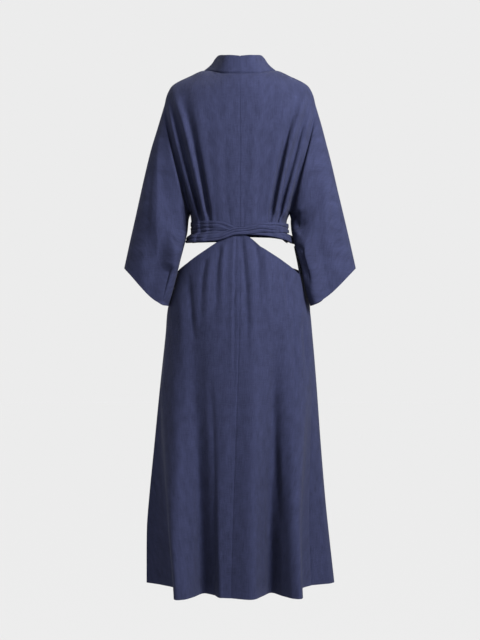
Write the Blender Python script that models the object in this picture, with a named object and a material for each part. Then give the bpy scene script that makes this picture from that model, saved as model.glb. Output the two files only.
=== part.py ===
"""Kimono robe with cut-outs at the waist, worn shape, as cut-and-sewn cloth pieces.

Metres, +Z up. The robe faces -Y, so its back is at +Y and the wearer's left is at +X.
The origin is at the base of the neck, where the shoulders hold the robe up.
Tables are in millimetres. A row is one seam, fold or level, and a column is named.
"""

import math
from bisect import bisect_right
from collections import namedtuple

import bmesh
import bpy
import numpy as np

MM = 0.001

# Cloth
WALL = 2.0
BAND_WALL = 2.4
SEAM_GAP = 0.3
LAP = 8.5
SHARP_ANGLE = 50.0
CLOTH_COLOUR = (0.062, 0.075, 0.165, 1.0)
CLOTH_ROUGHNESS = 0.85

LEFT, RIGHT = 1, -1
BACK, FRONT = 1, -1

# Heights
UNDERARM_Z = -352.0
HEM_Z = -1280.0

# Folds of the bodice: the row shares over which they rise and fade, and what is left at the waist
FOLD_RISES = (0.05, 0.5)
FOLD_FADES = (0.85, 1.3)
WAIST_FOLD = 0.15

# The torso under the bodice: half width and half depths at each level
Torso = namedtuple("Torso", "z width back front")
TORSO = [
    Torso(40, 200, 90, 84),
    Torso(-60, 200, 94, 96),
    Torso(-130, 194, 98, 110),
    Torso(-200, 180, 98, 116),
    Torso(-290, 150, 94, 106),
    Torso(-352, 125, 91, 95),
    Torso(-428, 120, 88, 88),
]
TORSO_POWER = 2.3
SHOULDER_ROUND = {BACK: 110.0, FRONT: 125.0}
WAIST_DROP = 300.0

# The shoulder line carried on to the middle of the neck
NECK_LINE_Z = 33.0
NECK_SIDE_X = 92.0
NECK_SIDE_Z = 2.0

# Lines of cloth that hang from the neck and shoulder to the waist, from the middle outwards.
# fold pushes the line out (ridge) or in (valley), and lean mixes in the sleeve's own spacing.
Line = namedtuple("Line", "name place start_x start_z mid_x mid_z level_x waist_x waist_z fold lean")
BACK_LINES = [
    Line("centre_back", 0, 0, -17, 0, -180, 0, 0, -410.0, 0, 0.25),
    Line("nape", 40, 45, -14.5, 40, -180, 33, 26, -410.2, 0, 0.25),
    Line("neck_side", 78, NECK_SIDE_X, NECK_SIDE_Z, 76, -180, 56, 46, -413, 0, 0.30),
    Line("blade", 100, 128, -13, 97, -185, 69, 60, -420, 2, 0.45),
    Line("inner_valley", 114, 156, -26, 111, -190, 79, 71, -425, -7, 0.60),
    Line("inner_ridge", 126, 171, -37, 124, -195, 89, 81, -427, 7, 0.72),
    Line("outer_valley", 138, 180, -52, 137, -200, 100, 92, -428, -8, 0.85),
    Line("outer_ridge", 150, 185, -66, 150, -208, 110, 103, -428, 6, 0.96),
]
FRONT_LINES = [
    Line("wrap_edge", 14, NECK_SIDE_X, NECK_SIDE_Z, 38, -170, -28, -42, -404, 0, 0.30),
    Line("front_fall", 52, 106, -4, 66, -180, 20, 4, -404, 2, 0.30),
    Line("bust", 82, 128, -13, 92, -185, 56, 44, -404, 0, 0.40),
    Line("inner_valley", 108, 154, -25, 112, -190, 78, 68, -409, -2, 0.58),
    Line("inner_ridge", 124, 171, -37, 129, -195, 92, 83, -415, 6, 0.74),
    Line("outer_valley", 142, 182, -57, 146, -203, 106, 98, -422, -7, 0.88),
]

# The line that runs from the shoulder to the underarm, shared by body and sleeve
Junction = namedtuple("Junction", "place start_x start_z mid_x mid_z level_x waist_x waist_z depth")
JUNCTION = Junction(163, 188.5, -82, 163, -215, 125, 119, -428, 47)

# Lines of the sleeve, from the overarm to the underarm edge
Sleeve = namedtuple("Sleeve", "name place top_x top_z end_x end_z depth fold sag")
SLEEVE_LINES = [
    Sleeve("armhole", 176, 195, -104, 128.5, -372, 52, 5, 0),
    Sleeve("upper_arm", 200, 205, -138, 131, -401, 57, 0, 0),
    Sleeve("elbow", 236, 223, -207, 138.5, -438, 60, -4, 0),
    Sleeve("forearm", 272, 243, -288, 147, -473, 60, 4, 0),
    Sleeve("wrist", 312, 262, -365, 158.5, -520, 60, -3, 1.5),
    Sleeve("above_cuff", 338, 277, -428, 169, -559, 60, 0, 5),
    Sleeve("cuff", 360, 291, -490, 180, -587, 60, 0, 8),
]
SAG_POWER = 1.4
SLEEVE_FORWARD = 18.0
SLEEVE_SWINGS_X = (125, 290)
SLEEVE_SWINGS_DOWN = (40, 480)

# The underarm edge hangs behind the hip: how far, over what width, from which height and
# how far out the bodice, which stays where it is, has ended
EDGE_BEHIND = 40.0
EDGE_BEHIND_WIDTH = 60.0
EDGE_BEHIND_DOWN = (374, 470)
EDGE_BEHIND_X = (123, 128.5)

# Rows down the bodice and columns between two lines
BODICE_ROWS = 13
WAIST_ROWS = 3
LINE_COLUMNS = 2
EVEN_SPACING = 0.35

# How far from the upper lap's edge, and how far down, the under lap is pushed in
LAP_INSIDE = (-24, -5)
LAP_DOWN = (40, 90)

# Skirt: half widths and half depths at each level
Ring = namedtuple("Ring", "z left right back front")
SKIRT = [
    Ring(-405, 120, 120, 88, 88),
    Ring(-412, 130, 130, 89.5, 89.5),
    Ring(-440, 138, 138, 95, 93),
    Ring(-497, 155, 153, 110, 104),
    Ring(-550, 168, 165, 119, 110),
    Ring(-595, 179, 175, 125, 114),
    Ring(-655, 186, 181, 128, 117),
    Ring(-795, 201, 193.5, 134, 122),
    Ring(-935, 215, 204.5, 141, 128),
    Ring(-1075, 229, 217, 150, 136),
    Ring(-1145, 234, 224.5, 155, 140),
    Ring(-1280, 235, 240, 163, 147),
]

# Lines of the skirt by the angle round the waist from centre back: where each starts,
# where it meets the hem, and the height at which it leaves the plain cone.
# The centre-back seam swings to the wearer's left at the hem.
Fall = namedtuple("Fall", "name angle top_z hem_x hem_y fold_z")
SEAM_SWING = 21
SKIRT_BACK_LEFT = [
    Fall("centre_back", 0, -410.3, SEAM_SWING, 166, -560),
    Fall("seam_side", 12, -410.5, 38, 161, -560),
    Fall("sash_end", 25, -430.9, 52, 156, -560),
    Fall("valley", 38, -450.5, 85, 110, -560),
    Fall("rise", 50, -466.9, 113, 152, -560),
    Fall("ridge", 60, -480.3, 136, 182, -640),
    Fall("lip", 68, -488.1, 157, 172, -760),
    Fall("tuck", 75, -493, 156, 62, -800),
    Fall("wing", 82, -497, 192, 14, -700),
    Fall("side", 90, -498.5, 235, -18, -700),
]
SKIRT_BACK_RIGHT = [
    Fall("centre_back", 0, -410.3, -SEAM_SWING, 166, -560),
    Fall("ridge", 10, -411.5, 28, 182, -560),
    Fall("rise", 19.5, -436.2, 52, 140, -560),
    Fall("valley", 30, -451.2, 76, 104, -560),
    Fall("swell", 40, -465.4, 103, 142, -560),
    Fall("lip_ridge", 50, -479.6, 131, 170, -600),
    Fall("lip", 58, -490, 149, 160, -700),
    Fall("tuck", 64, -497.5, 149, 64, -740),
    Fall("side_seam", 71, -505.4, 178, 16, -700),
]
SKIRT_FRONT_LEFT = [
    Fall("side", 90, -498.5, 235, -18, -700),
    Fall("wing", 104, -491, 222, -70, -700),
    Fall("ridge_1", 120, -477, 178, -118, -700),
    Fall("valley_1", 136, -455, 132, -110, -700),
    Fall("ridge_2", 150, -433, 88, -142, -700),
    Fall("valley_2", 162, -414.3, 44, -128, -700),
    Fall("ridge_3", 176, -404.8, -6, -150, -700),
    Fall("lap_edge", 190, -404.8, -62, -140, -700),
]
SKIRT_FRONT_RIGHT = [
    Fall("side_seam", 71, -505.4, 178, 16, -700),
    Fall("gore_foot", 77, -491, 204, 4, -700),
    Fall("gore_back", 84, -436, 226, -6, -700),
    Fall("gore_front", 96, -436, 238, -30, -700),
    Fall("front_foot", 105, -496, 226, -72, -700),
    Fall("ridge_1", 121, -487, 176, -120, -700),
    Fall("valley_1", 138, -463, 126, -108, -700),
    Fall("ridge_2", 153, -440, 80, -136, -700),
    Fall("valley_2", 167, -405.5, 32, -124, -700),
    Fall("under_edge", 184, -404.8, -26, -118, -700),
]
SKIRT_ROWS = 15
FALL_COLUMNS = 2
EVEN_ROWS = 0.75
SOFT_FOLD = 0.55

# Neckband: how far its free edge stands from its sewn edge, at places along the back
# neckline (0 centre back to 1 shoulder) and then down the wrap edge (1 to 2 underarm level)
Band = namedtuple("Band", "place off_x off_y off_z")
BAND_FREE_EDGE = [
    Band(0.0, 0, -10, 46),
    Band(0.4, -8, -11, 46),
    Band(0.75, -21, -13, 42),
    Band(1.0, -33, -10, 33),
    Band(1.15, -38, -4, 20),
    Band(1.35, -40, 0, 13),
    Band(2.5, -40, 0, 12),
]
BAND_LIES_FLAT = (1.0, 1.35)

# Sash
SASH_CENTRE_Z = -405.0
SASH_BACK_DROP = 2.6
SASH_FRONT_RISE = 9.0
SASH_OUT = 1.3
SASH_OVER = 4.2
SASH_PINCH_ANGLE = 18.0
SASH_OVER_ENDS = {LEFT: (62, 85), RIGHT: (95, 112)}
Strand = namedtuple(
    "Strand",
    "left_z left_height mid_z mid_height right_z right_height front_z front_height cross_angle cross_width over",
)
STRAND_A = Strand(12.5, 34, 3.5, 17, -14, 25.4, -5, 12.4, -57, 22, 0)
STRAND_B = Strand(-14, 17.6, 4, 17, 13.6, 23.4, 13.6, 23.4, 6, 24, 1)
SASH_FRONT_RIGHT = (85, 140)
STRAND_STEPS = (0.5, 0.25, 0.0, -0.25, -0.5)

# Knot and tails on the front
KNOT_CENTRE = (4.0, -103.7, -397.0)
KNOT_SIZE = (20.0, 9.5, 19.0)
KNOT_ROUND = 0.55
Tail = namedtuple("Tail", "angle_top angle_end width_top width_end end_z")
TAIL_LONG = Tail(174.0, 158.0, 16, 44, -845)
TAIL_SHORT = Tail(182.4, 183.5, 16, 40, -770)
TAIL_TOP_Z = -416.2
TAIL_SETTLED_Z = -520.0
TAIL_OUT = 0.5
TAIL_KNOT_OUT = 11.7
TAIL_WIDE_AT = 0.5
TAIL_ROWS = 14


def clamp(value, low=0.0, high=1.0):
    """Hold a value between two limits."""
    return max(low, min(high, value))


def ramp(value, start, end):
    """Smooth step from 0 at start to 1 at end."""
    t = clamp((value - start) / (end - start))
    return t * t * (3 - 2 * t)


def through(places, values, place):
    """Smooth curve through values that stand at rising places."""
    last = len(places) - 1
    i = int(clamp(bisect_right(places, place) - 1, 0, last - 1))
    span = places[i + 1] - places[i]
    u = (place - places[i]) / span

    def slope(k):
        low, high = max(k - 1, 0), min(k + 1, last)
        return (values[high] - values[low]) / (places[high] - places[low])

    rise = 2 * u**3 - 3 * u**2
    start_part = (rise + 1) * values[i] + (u**3 - 2 * u**2 + u) * span * slope(i)
    end_part = -rise * values[i + 1] + (u**3 - u**2) * span * slope(i + 1)
    return start_part + end_part


def level_value(table, column, z):
    """A column of a table of levels, read at height z."""
    places = [-row.z for row in table]
    values = [float(getattr(row, column)) for row in table]
    return through(places, values, clamp(-z, places[0], places[-1]))


def neck_line(x):
    """Height of the shoulder line, carried on across the neck."""
    return NECK_LINE_Z + (NECK_SIDE_Z - NECK_LINE_Z) * abs(x) / NECK_SIDE_X


def torso_depth(face, x, z, drop):
    """Depth of the plain bodice at x and z, with drop measured down from the shoulder line."""
    width = level_value(TORSO, "width", z)
    depth = level_value(TORSO, "back" if face == BACK else "front", z)
    across = clamp(abs(x) / width) ** TORSO_POWER
    side = max(0.0, 1 - across) ** (1 / TORSO_POWER)
    reach = clamp(drop / SHOULDER_ROUND[face])
    return depth * side * math.sqrt(max(0.0, 1 - (1 - reach) ** 2))


def spacing(r, lean):
    """Share of the way down at row share r: dense at the top, or at both ends as lean grows."""
    body = EVEN_SPACING * r + (1 - EVEN_SPACING) * r * r
    sleeve = (1 - math.cos(math.pi * r)) / 2
    return (1 - lean) * body + lean * sleeve


def lean_forward(x, z):
    """How far the hanging sleeve lies forward of the shoulder, its underarm edge behind the hip."""
    forward = -SLEEVE_FORWARD * ramp(abs(x), *SLEEVE_SWINGS_X) * ramp(-z, *SLEEVE_SWINGS_DOWN)
    edge = float(np.interp(-z, [-line.end_z for line in SLEEVE_LINES], [line.end_x for line in SLEEVE_LINES]))
    near = (1 - ramp(abs(x) - edge, 0, EDGE_BEHIND_WIDTH)) * ramp(abs(x), *EDGE_BEHIND_X)
    return forward + EDGE_BEHIND * near * ramp(-z, *EDGE_BEHIND_DOWN)


def line_x(line, z):
    """Where a body line stands across the robe at height z."""
    heights = [-line.start_z, -line.mid_z, -UNDERARM_Z, -line.waist_z]
    xs = [line.start_x, line.mid_x, line.level_x, line.waist_x]
    return through(heights, xs, clamp(-z, heights[0], heights[-1]))


def body_point(line, face, r):
    """Point of a body line: r from 0 at the top to 1 at underarm level and 2 at the waist."""
    if r <= 1:
        z = line.start_z + (UNDERARM_Z - line.start_z) * spacing(r, line.lean)
    else:
        z = UNDERARM_Z + (line.waist_z - UNDERARM_Z) * (r - 1)
    x = line_x(line, z)
    seam_z = max(line.start_z, neck_line(x)) if abs(line.start_x) < NECK_SIDE_X else line.start_z
    strength = ramp(r, *FOLD_RISES) * (1 - (1 - WAIST_FOLD) * ramp(r, *FOLD_FADES))
    y = torso_depth(face, x, z, seam_z - z) + line.fold * strength
    return np.array([x, face * y + lean_forward(x, z), z])


def junction_point(face, r):
    """Point of the line that body and sleeve share above the underarm, and of the side below."""
    line = JUNCTION
    if r <= 1:
        z = line.start_z + (UNDERARM_Z - line.start_z) * spacing(r, 1.0)
        y = line.depth * math.sin(math.pi * r)
    else:
        z = UNDERARM_Z + (line.waist_z - UNDERARM_Z) * (r - 1)
        y = 0.0
    x = line_x(line, z)
    return np.array([x, face * y + lean_forward(x, z), z])


def waist_point(side, face, place, z):
    """Point of the bodice under the sash at height z, at a place across its lines."""
    lines = BACK_LINES if face == BACK else FRONT_LINES
    points = []
    for line in lines:
        x = line_x(line, z)
        y = torso_depth(face, x, z, WAIST_DROP) + line.fold * WAIST_FOLD
        points.append(np.array([side * x, face * y, z]))
    points.append(np.array([side * line_x(JUNCTION, z), 0.0, z]))
    point = through([line.place for line in lines] + [JUNCTION.place], points, place)
    wider = level_value(SKIRT, "left", z) / SKIRT[0].left
    deeper = level_value(SKIRT, "back", z) / SKIRT[0].back
    return point * np.array([wider, deeper, 1.0])


def waist_path():
    """Places round the waist, from the front over the wearer's left to the back and round again."""
    front = column_places([line.place for line in FRONT_LINES[1:]] + [JUNCTION.place], LINE_COLUMNS)
    back = column_places([line.place for line in BACK_LINES] + [JUNCTION.place], LINE_COLUMNS)
    half = [(LEFT, FRONT, p) for p in front[:-1]] + [(LEFT, BACK, p) for p in reversed(back[1:])]
    other = [(RIGHT, face, place) for _, face, place in reversed(half)]
    return half + [(LEFT, BACK, 0.0)] + other


def sleeve_point(line, face, r):
    """Point of a sleeve line, half an ellipse from the overarm to the underarm edge."""
    share = spacing(r, 1.0)
    x = line.top_x + (line.end_x - line.top_x) * share
    z = line.top_z + (line.end_z - line.top_z) * share - line.sag * math.sin(math.pi * share**SAG_POWER)
    y = (line.depth + line.fold) * math.sin(math.pi * r)
    return np.array([x, face * y + lean_forward(x, z), z])


def column_places(places, between):
    """Places of all columns: each line and the ones between two lines."""
    out = []
    for low, high in zip(places, places[1:]):
        out += [low + (high - low) * k / between for k in range(between)]
    return out + [places[-1]]


def bodice_blocks(lines, face):
    """Outer points of one bodice half as two grids, body and sleeve, that share a column."""
    body_places = [line.place for line in lines] + [JUNCTION.place]
    sleeve_places = [line.place for line in SLEEVE_LINES]
    all_places = body_places + sleeve_places
    upper = [k / BODICE_ROWS for k in range(BODICE_ROWS + 1)]
    lower = [1 + (k + 1) / WAIST_ROWS for k in range(WAIST_ROWS)]

    def across(r, places):
        points = [body_point(line, face, r) for line in lines] + [junction_point(face, r)]
        if r > 1:
            return [through(body_places, points, p) for p in places]
        points += [sleeve_point(line, face, r) for line in SLEEVE_LINES]
        return [through(all_places, points, p) for p in places]

    body = [across(r, column_places(body_places, LINE_COLUMNS)) for r in upper + lower]
    sleeve_columns = column_places([JUNCTION.place] + sleeve_places, LINE_COLUMNS)
    sleeve = [across(r, sleeve_columns) for r in upper]
    return body, sleeve


def wrap_edge_x(z):
    """Where the upper lap's neckband has its free edge, at height z."""
    edge = FRONT_LINES[0]
    heights = [-edge.start_z, -edge.mid_z, -UNDERARM_Z, -edge.waist_z]
    xs = [edge.start_x, edge.mid_x, edge.level_x, edge.waist_x]
    free_edge = BAND_FREE_EDGE[-1]
    return through(heights, xs, clamp(-z - free_edge.off_z, heights[0], heights[-1])) + free_edge.off_x


def under_lap(point):
    """Push a point of the under lap in where the upper lap lies over it. Right side, x < 0."""
    x, y, z = point
    depth = LAP * ramp(x - wrap_edge_x(z), *LAP_INSIDE) * ramp(-z, *LAP_DOWN)
    return np.array([x, y + depth, z])


def skirt_ring(angle, z):
    """Point of the plain skirt cone at an angle from centre back. The left has angles over 0."""
    turn = math.radians(angle)
    width = level_value(SKIRT, "left" if math.sin(turn) >= 0 else "right", z)
    depth = level_value(SKIRT, "back" if math.cos(turn) >= 0 else "front", z)
    return np.array([width * math.sin(turn), depth * math.cos(turn), z])


def fall_point(line, side, z):
    """Point of a skirt line at height z, between the plain cone and its own place at the hem."""
    share = clamp((line.fold_z - z) / (line.fold_z - HEM_Z))
    weight = share * share * (3 - 2 * share) * SOFT_FOLD + share * (1 - SOFT_FOLD)
    cone = skirt_ring(side * line.angle, z)
    at_hem = skirt_ring(side * line.angle, HEM_Z)
    hem = np.array([side * line.hem_x, line.hem_y, HEM_Z])
    moved = cone + (hem - at_hem) * weight
    return np.array([moved[0], moved[1], z])


def skirt_point(lines, side, angle, z):
    """Point of a skirt piece at an angle from centre back and a height."""
    return through([line.angle for line in lines], [fall_point(line, side, z) for line in lines], angle)


def skirt_top(lines, angle):
    """Height of a skirt piece's top edge at an angle."""
    return float(np.interp(angle, [line.angle for line in lines], [line.top_z for line in lines]))


def skirt_grid(lines, side, between=FALL_COLUMNS):
    """Outer points of one skirt piece, row by row from its top edge to the hem."""
    columns = column_places([float(line.angle) for line in lines], between)
    rows = []
    for k in range(SKIRT_ROWS + 1):
        share = EVEN_ROWS * k / SKIRT_ROWS + (1 - EVEN_ROWS) * (k / SKIRT_ROWS) ** 2
        row = []
        for angle in columns:
            top = skirt_top(lines, angle)
            row.append(skirt_point(lines, side, angle, top + (HEM_Z - top) * share))
        rows.append(row)
    return rows


def middle_plane(point):
    """The plane of the centre seams."""
    return 0.0


def mirrored(grid):
    """The same grid on the wearer's right."""
    return [[np.array([-p[0], p[1], p[2]]) for p in row] for row in grid]


class Cloth:
    """Outer points and four-sided faces of one piece, then made a closed wall."""

    def __init__(self, name):
        self.name = name
        self.points = []
        self.index = {}
        self.faces = []
        self.flat = {}
        self.set_normals = {}

    def vertex(self, point):
        """Number of a point, shared when it is already there."""
        key = tuple(round(float(c), 3) for c in point)
        if key not in self.index:
            self.index[key] = len(self.points)
            self.points.append(np.array(point, dtype=float))
        return self.index[key]

    def add_grid(self, rows, turn):
        """Add a grid of points. turn is 1 or -1 and sets which way its faces point."""
        numbers = [[self.vertex(p) for p in row] for row in rows]
        for upper, lower in zip(numbers, numbers[1:]):
            for a, b, c, d in zip(upper, upper[1:], lower[1:], lower):
                corners = [a, b, c, d] if turn > 0 else [a, d, c, b]
                kept = list(dict.fromkeys(corners))
                if len(kept) > 2:
                    self.faces.append(kept)
        return numbers

    def seam(self, numbers, axis, offset, centre=None):
        """Hold an edge flat across axis, offset from where it is or from centre(point)."""
        for number in numbers:
            if axis in self.flat.get(number, set()):
                continue
            point = self.points[number]
            point[axis] = (point[axis] if centre is None else centre(point)) + offset
            self.flat.setdefault(number, set()).add(axis)

    def normals(self):
        """Outward direction at each point, flat where an edge is sewn."""
        out = np.zeros((len(self.points), 3))
        for face in self.faces:
            corners = [self.points[n] for n in face]
            normal = np.zeros(3)
            for p, q in zip(corners[1:], corners[2:]):
                normal += np.cross(p - corners[0], q - corners[0])
            for number in face:
                out[number] += normal
        for number, axes in self.flat.items():
            for axis in axes:
                out[number][axis] = 0.0
        for number, normal in self.set_normals.items():
            out[number] = normal
        return out / np.maximum(np.linalg.norm(out, axis=1), 1e-9)[:, None]

    def build(self, wall):
        """Give the cloth its thickness and make the object."""
        outward = self.normals()
        count = len(self.points)
        outer = [p * MM for p in self.points]
        inner = [(p - n * wall) * MM for p, n in zip(self.points, outward)]
        faces = [tuple(f) for f in self.faces] + [tuple(n + count for n in reversed(f)) for f in self.faces]
        edges = {}
        for face in self.faces:
            for a, b in zip(face, face[1:] + face[:1]):
                edges[(a, b)] = True
        for a, b in edges:
            if (b, a) not in edges:
                faces.append((b, a, a + count, b + count))
        make_object(self.name, outer + inner, faces)
        return outward


def cloth_material():
    """The robe's cloth, one material for every piece."""
    material = bpy.data.materials.get("indigo_cloth") or bpy.data.materials.new("indigo_cloth")
    material.use_nodes = True
    shader = material.node_tree.nodes["Principled BSDF"]
    shader.inputs["Base Color"].default_value = CLOTH_COLOUR
    shader.inputs["Roughness"].default_value = CLOTH_ROUGHNESS
    shader.inputs["Metallic"].default_value = 0.0
    return material


def make_object(name, points, faces):
    """A mesh object from points in metres, with every face triangulated and smooth."""
    mesh = bpy.data.meshes.new(name)
    mesh.from_pydata([tuple(map(float, p)) for p in points], [], faces)
    work = bmesh.new()
    work.from_mesh(mesh)
    bmesh.ops.triangulate(work, faces=work.faces[:], quad_method="SHORT_EDGE")
    work.to_mesh(mesh)
    work.free()
    mesh.shade_smooth()
    mesh.set_sharp_from_angle(angle=math.radians(SHARP_ANGLE))
    mesh.materials.append(cloth_material())
    obj = bpy.data.objects.new(name, mesh)
    bpy.context.collection.objects.link(obj)
    return obj


def build_bodice(name, lines, face, side, shift=None):
    """One half of the bodice with its half of the sleeve. Returns its directions along the neckband."""
    body, sleeve = bodice_blocks(lines, face)
    if side == RIGHT:
        body, sleeve = mirrored(body), mirrored(sleeve)
    if shift:
        body = [[shift(p) for p in row] for row in body]
    cloth = Cloth(name)
    body_numbers = cloth.add_grid(body, face * side)
    sleeve_numbers = cloth.add_grid(sleeve, face * side)
    gap = face * SEAM_GAP / 2
    shoulder = [n for n in body_numbers[0] if abs(cloth.points[n][0]) >= NECK_SIDE_X - 1]
    side_edge = [row[-1] for row in body_numbers[BODICE_ROWS:]]
    for edge in (shoulder, side_edge, sleeve_numbers[0], sleeve_numbers[-1]):
        cloth.seam(edge, 1, gap, centre=lambda point: lean_forward(point[0], point[2]))
    cloth.set_normals[body_numbers[BODICE_ROWS][-1]] = (0.0, 0.0, -1.0)
    if face == BACK:
        cloth.seam([row[0] for row in body_numbers], 0, side * SEAM_GAP / 2, centre=middle_plane)
    outward = cloth.build(WALL)
    if face == BACK:
        return outward[body_numbers[0]]
    return outward[[row[0] for row in body_numbers]]


def build_skirt(name, lines, side, shift=None, centre_seam=False, side_seams=()):
    """One skirt piece. side_seams gives (column, offset) for edges sewn to a neighbour."""
    rows = skirt_grid(lines, side)
    if shift:
        rows = [[shift(p) for p in row] for row in rows]
    cloth = Cloth(name)
    numbers = cloth.add_grid(rows, side)
    if centre_seam:
        cloth.seam([row[0] for row in numbers], 0, side * SEAM_GAP / 2)
    for column, offset in side_seams:
        cloth.seam([row[column] for row in numbers], 1, offset)
    cloth.build(WALL)
    return cloth


def band_edges(side):
    """Sewn edge, middle and free edge of half the neckband, from centre back to the waist."""
    parts = [[], [], []]
    places = [row.place for row in BAND_FREE_EDGE]
    offsets = [np.array([row.off_x, row.off_y, row.off_z], dtype=float) for row in BAND_FREE_EDGE]
    body_places = [line.place for line in BACK_LINES]
    neck_place = BACK_LINES[2].place
    tops = [body_point(line, BACK, 0) for line in BACK_LINES]
    neckline = [p for p in column_places(body_places, LINE_COLUMNS) if p <= neck_place]
    edges = [(p / neck_place, through(body_places, tops, p)) for p in neckline]
    shares = [k / BODICE_ROWS for k in range(1, BODICE_ROWS + 1)]
    shares += [1 + k / WAIST_ROWS for k in range(1, WAIST_ROWS + 1)]
    edges += [(1 + share, body_point(FRONT_LINES[0], FRONT, share)) for share in shares]
    for place, edge in edges:
        offset = through(places, offsets, min(place, places[-1]))
        loose = edge + offset
        if place > 1:
            on_chest = -torso_depth(FRONT, loose[0], loose[2], max(0.0, neck_line(loose[0]) - loose[2]))
            loose[1] = on_chest + (loose[1] - on_chest) * (1 - ramp(place, *BAND_LIES_FLAT))
        direction = (loose - edge) / np.linalg.norm(loose - edge)
        start = edge + direction * SEAM_GAP
        middle = (start + loose) / 2
        if place > 1:
            drop = max(0.0, neck_line(middle[0]) - middle[2])
            on_chest = -torso_depth(FRONT, middle[0], middle[2], drop)
            middle[1] += (on_chest - middle[1]) * ramp(place, *BAND_LIES_FLAT)
        for part, point in zip(parts, (start, middle, loose)):
            part.append(np.array([side * point[0], point[1], point[2]]))
    return parts


def build_neckband(name, side, back_edge, front_edge, shift=None):
    """Half of the neckband, standing at the back neck and flat on the chest.

    back_edge and front_edge are the directions of the panels' walls that it is sewn to.
    """
    rows = band_edges(side)
    if shift:
        rows = [[shift(p) for p in row] for row in rows]
    cloth = Cloth(name)
    numbers = cloth.add_grid(rows, -side)
    sewn_walls = list(back_edge[: len(rows[0]) - len(front_edge)]) + list(front_edge)
    cloth.set_normals = dict(zip(numbers[0], sewn_walls))
    cloth.seam([row[0] for row in numbers], 0, side * SEAM_GAP / 2, centre=middle_plane)
    cloth.build(BAND_WALL)
    return cloth


def sash_centre(angle):
    """Height of the sash's middle round the waist."""
    turn = math.cos(math.radians(angle))
    return SASH_CENTRE_Z - SASH_BACK_DROP * max(turn, 0) + SASH_FRONT_RISE * max(-turn, 0)


def build_strand(name, strand):
    """One tie of the sash, round the waist from front to front, crossing at centre back."""
    rows = [[] for _ in STRAND_STEPS]
    for side, face, place in waist_path():
        here = waist_point(side, face, place, SASH_CENTRE_Z)
        angle = math.degrees(math.atan2(here[0], here[1]))
        side_share = 0.5 + 0.5 * math.tanh((angle - strand.cross_angle) / strand.cross_width)
        near = math.exp(-((angle / SASH_PINCH_ANGLE) ** 2))
        offset = strand.right_z + (strand.left_z - strand.right_z) * side_share
        offset += (strand.mid_z - offset) * near
        height = strand.right_height + (strand.left_height - strand.right_height) * side_share
        height += (strand.mid_height - height) * near
        front = ramp(-angle, *SASH_FRONT_RIGHT)
        offset += (strand.front_z - offset) * front
        height += (strand.front_height - height) * front
        middle = sash_centre(angle) + offset
        over_ends = SASH_OVER_ENDS[LEFT if angle >= 0 else RIGHT]
        out = SASH_OUT + strand.over * SASH_OVER * (1 - ramp(abs(angle), *over_ends))
        outward = np.array([math.sin(math.radians(angle)), math.cos(math.radians(angle)), 0.0])
        ahead = waist_point(side, face, place + 1.0, SASH_CENTRE_Z) - here
        outward -= ahead * np.dot(outward, ahead) / np.dot(ahead, ahead)
        outward /= np.linalg.norm(outward)
        for row, step in zip(rows, STRAND_STEPS):
            z = middle + step * height
            row.append(waist_point(side, face, place, z) + outward * (out + WALL))
    cloth = Cloth(name)
    cloth.add_grid(rows, -1)
    cloth.build(WALL)
    return cloth


def build_knot(name):
    """Plain knot, a soft rounded block."""
    work = bmesh.new()
    bmesh.ops.create_cube(work, size=2.0)
    bmesh.ops.subdivide_edges(work, edges=work.edges[:], cuts=3, use_grid_fill=True)
    for vertex in work.verts:
        unit = vertex.co.normalized()
        soft = unit * KNOT_ROUND + vertex.co * (1 - KNOT_ROUND)
        vertex.co = [KNOT_CENTRE[i] * MM + KNOT_SIZE[i] * MM * soft[i] for i in range(3)]
    points = [v.co[:] for v in work.verts]
    faces = [tuple(v.index for v in f.verts) for f in work.faces]
    work.free()
    return make_object(name, points, faces)


def build_tail(name, tail):
    """Free end of a tie, hanging on the front of the skirt, its points moved out from it."""
    rows = []
    for k in range(TAIL_ROWS + 1):
        share = k / TAIL_ROWS
        z = TAIL_TOP_Z + (tail.end_z - TAIL_TOP_Z) * share
        out = TAIL_OUT + (TAIL_KNOT_OUT - TAIL_OUT) * (1 - ramp(-z, -TAIL_TOP_Z, -TAIL_SETTLED_Z))
        middle = tail.angle_top + (tail.angle_end - tail.angle_top) * share
        width = tail.width_top + (tail.width_end - tail.width_top) * ramp(share, 0, TAIL_WIDE_AT)
        row = []
        for step in (-0.5, -0.17, 0.17, 0.5):
            half_turn = math.degrees(width * step / level_value(SKIRT, "left", z))
            angle = middle + half_turn
            here = skirt_point(SKIRT_FRONT_LEFT, LEFT, angle, z)
            ahead = skirt_point(SKIRT_FRONT_LEFT, LEFT, angle + 1, z)
            along = ahead - here
            outward = np.array([along[1], -along[0], 0.0])
            outward *= -math.copysign(1.0, outward[1]) / np.linalg.norm(outward)
            row.append(here + outward * (out + WALL))
        rows.append(row)
    cloth = Cloth(name)
    cloth.add_grid(rows, 1)
    cloth.build(WALL)
    return cloth


def skirt_under_lap(point):
    """Push a point of the under skirt in where the upper lap lies over it. x < 0 is its own side."""
    x, y, z = point
    edge = fall_point(SKIRT_FRONT_LEFT[-1], LEFT, z)
    if y > 0:
        return point
    depth = LAP * ramp(x - edge[0], *LAP_INSIDE)
    return np.array([x, y + depth, z])


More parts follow.
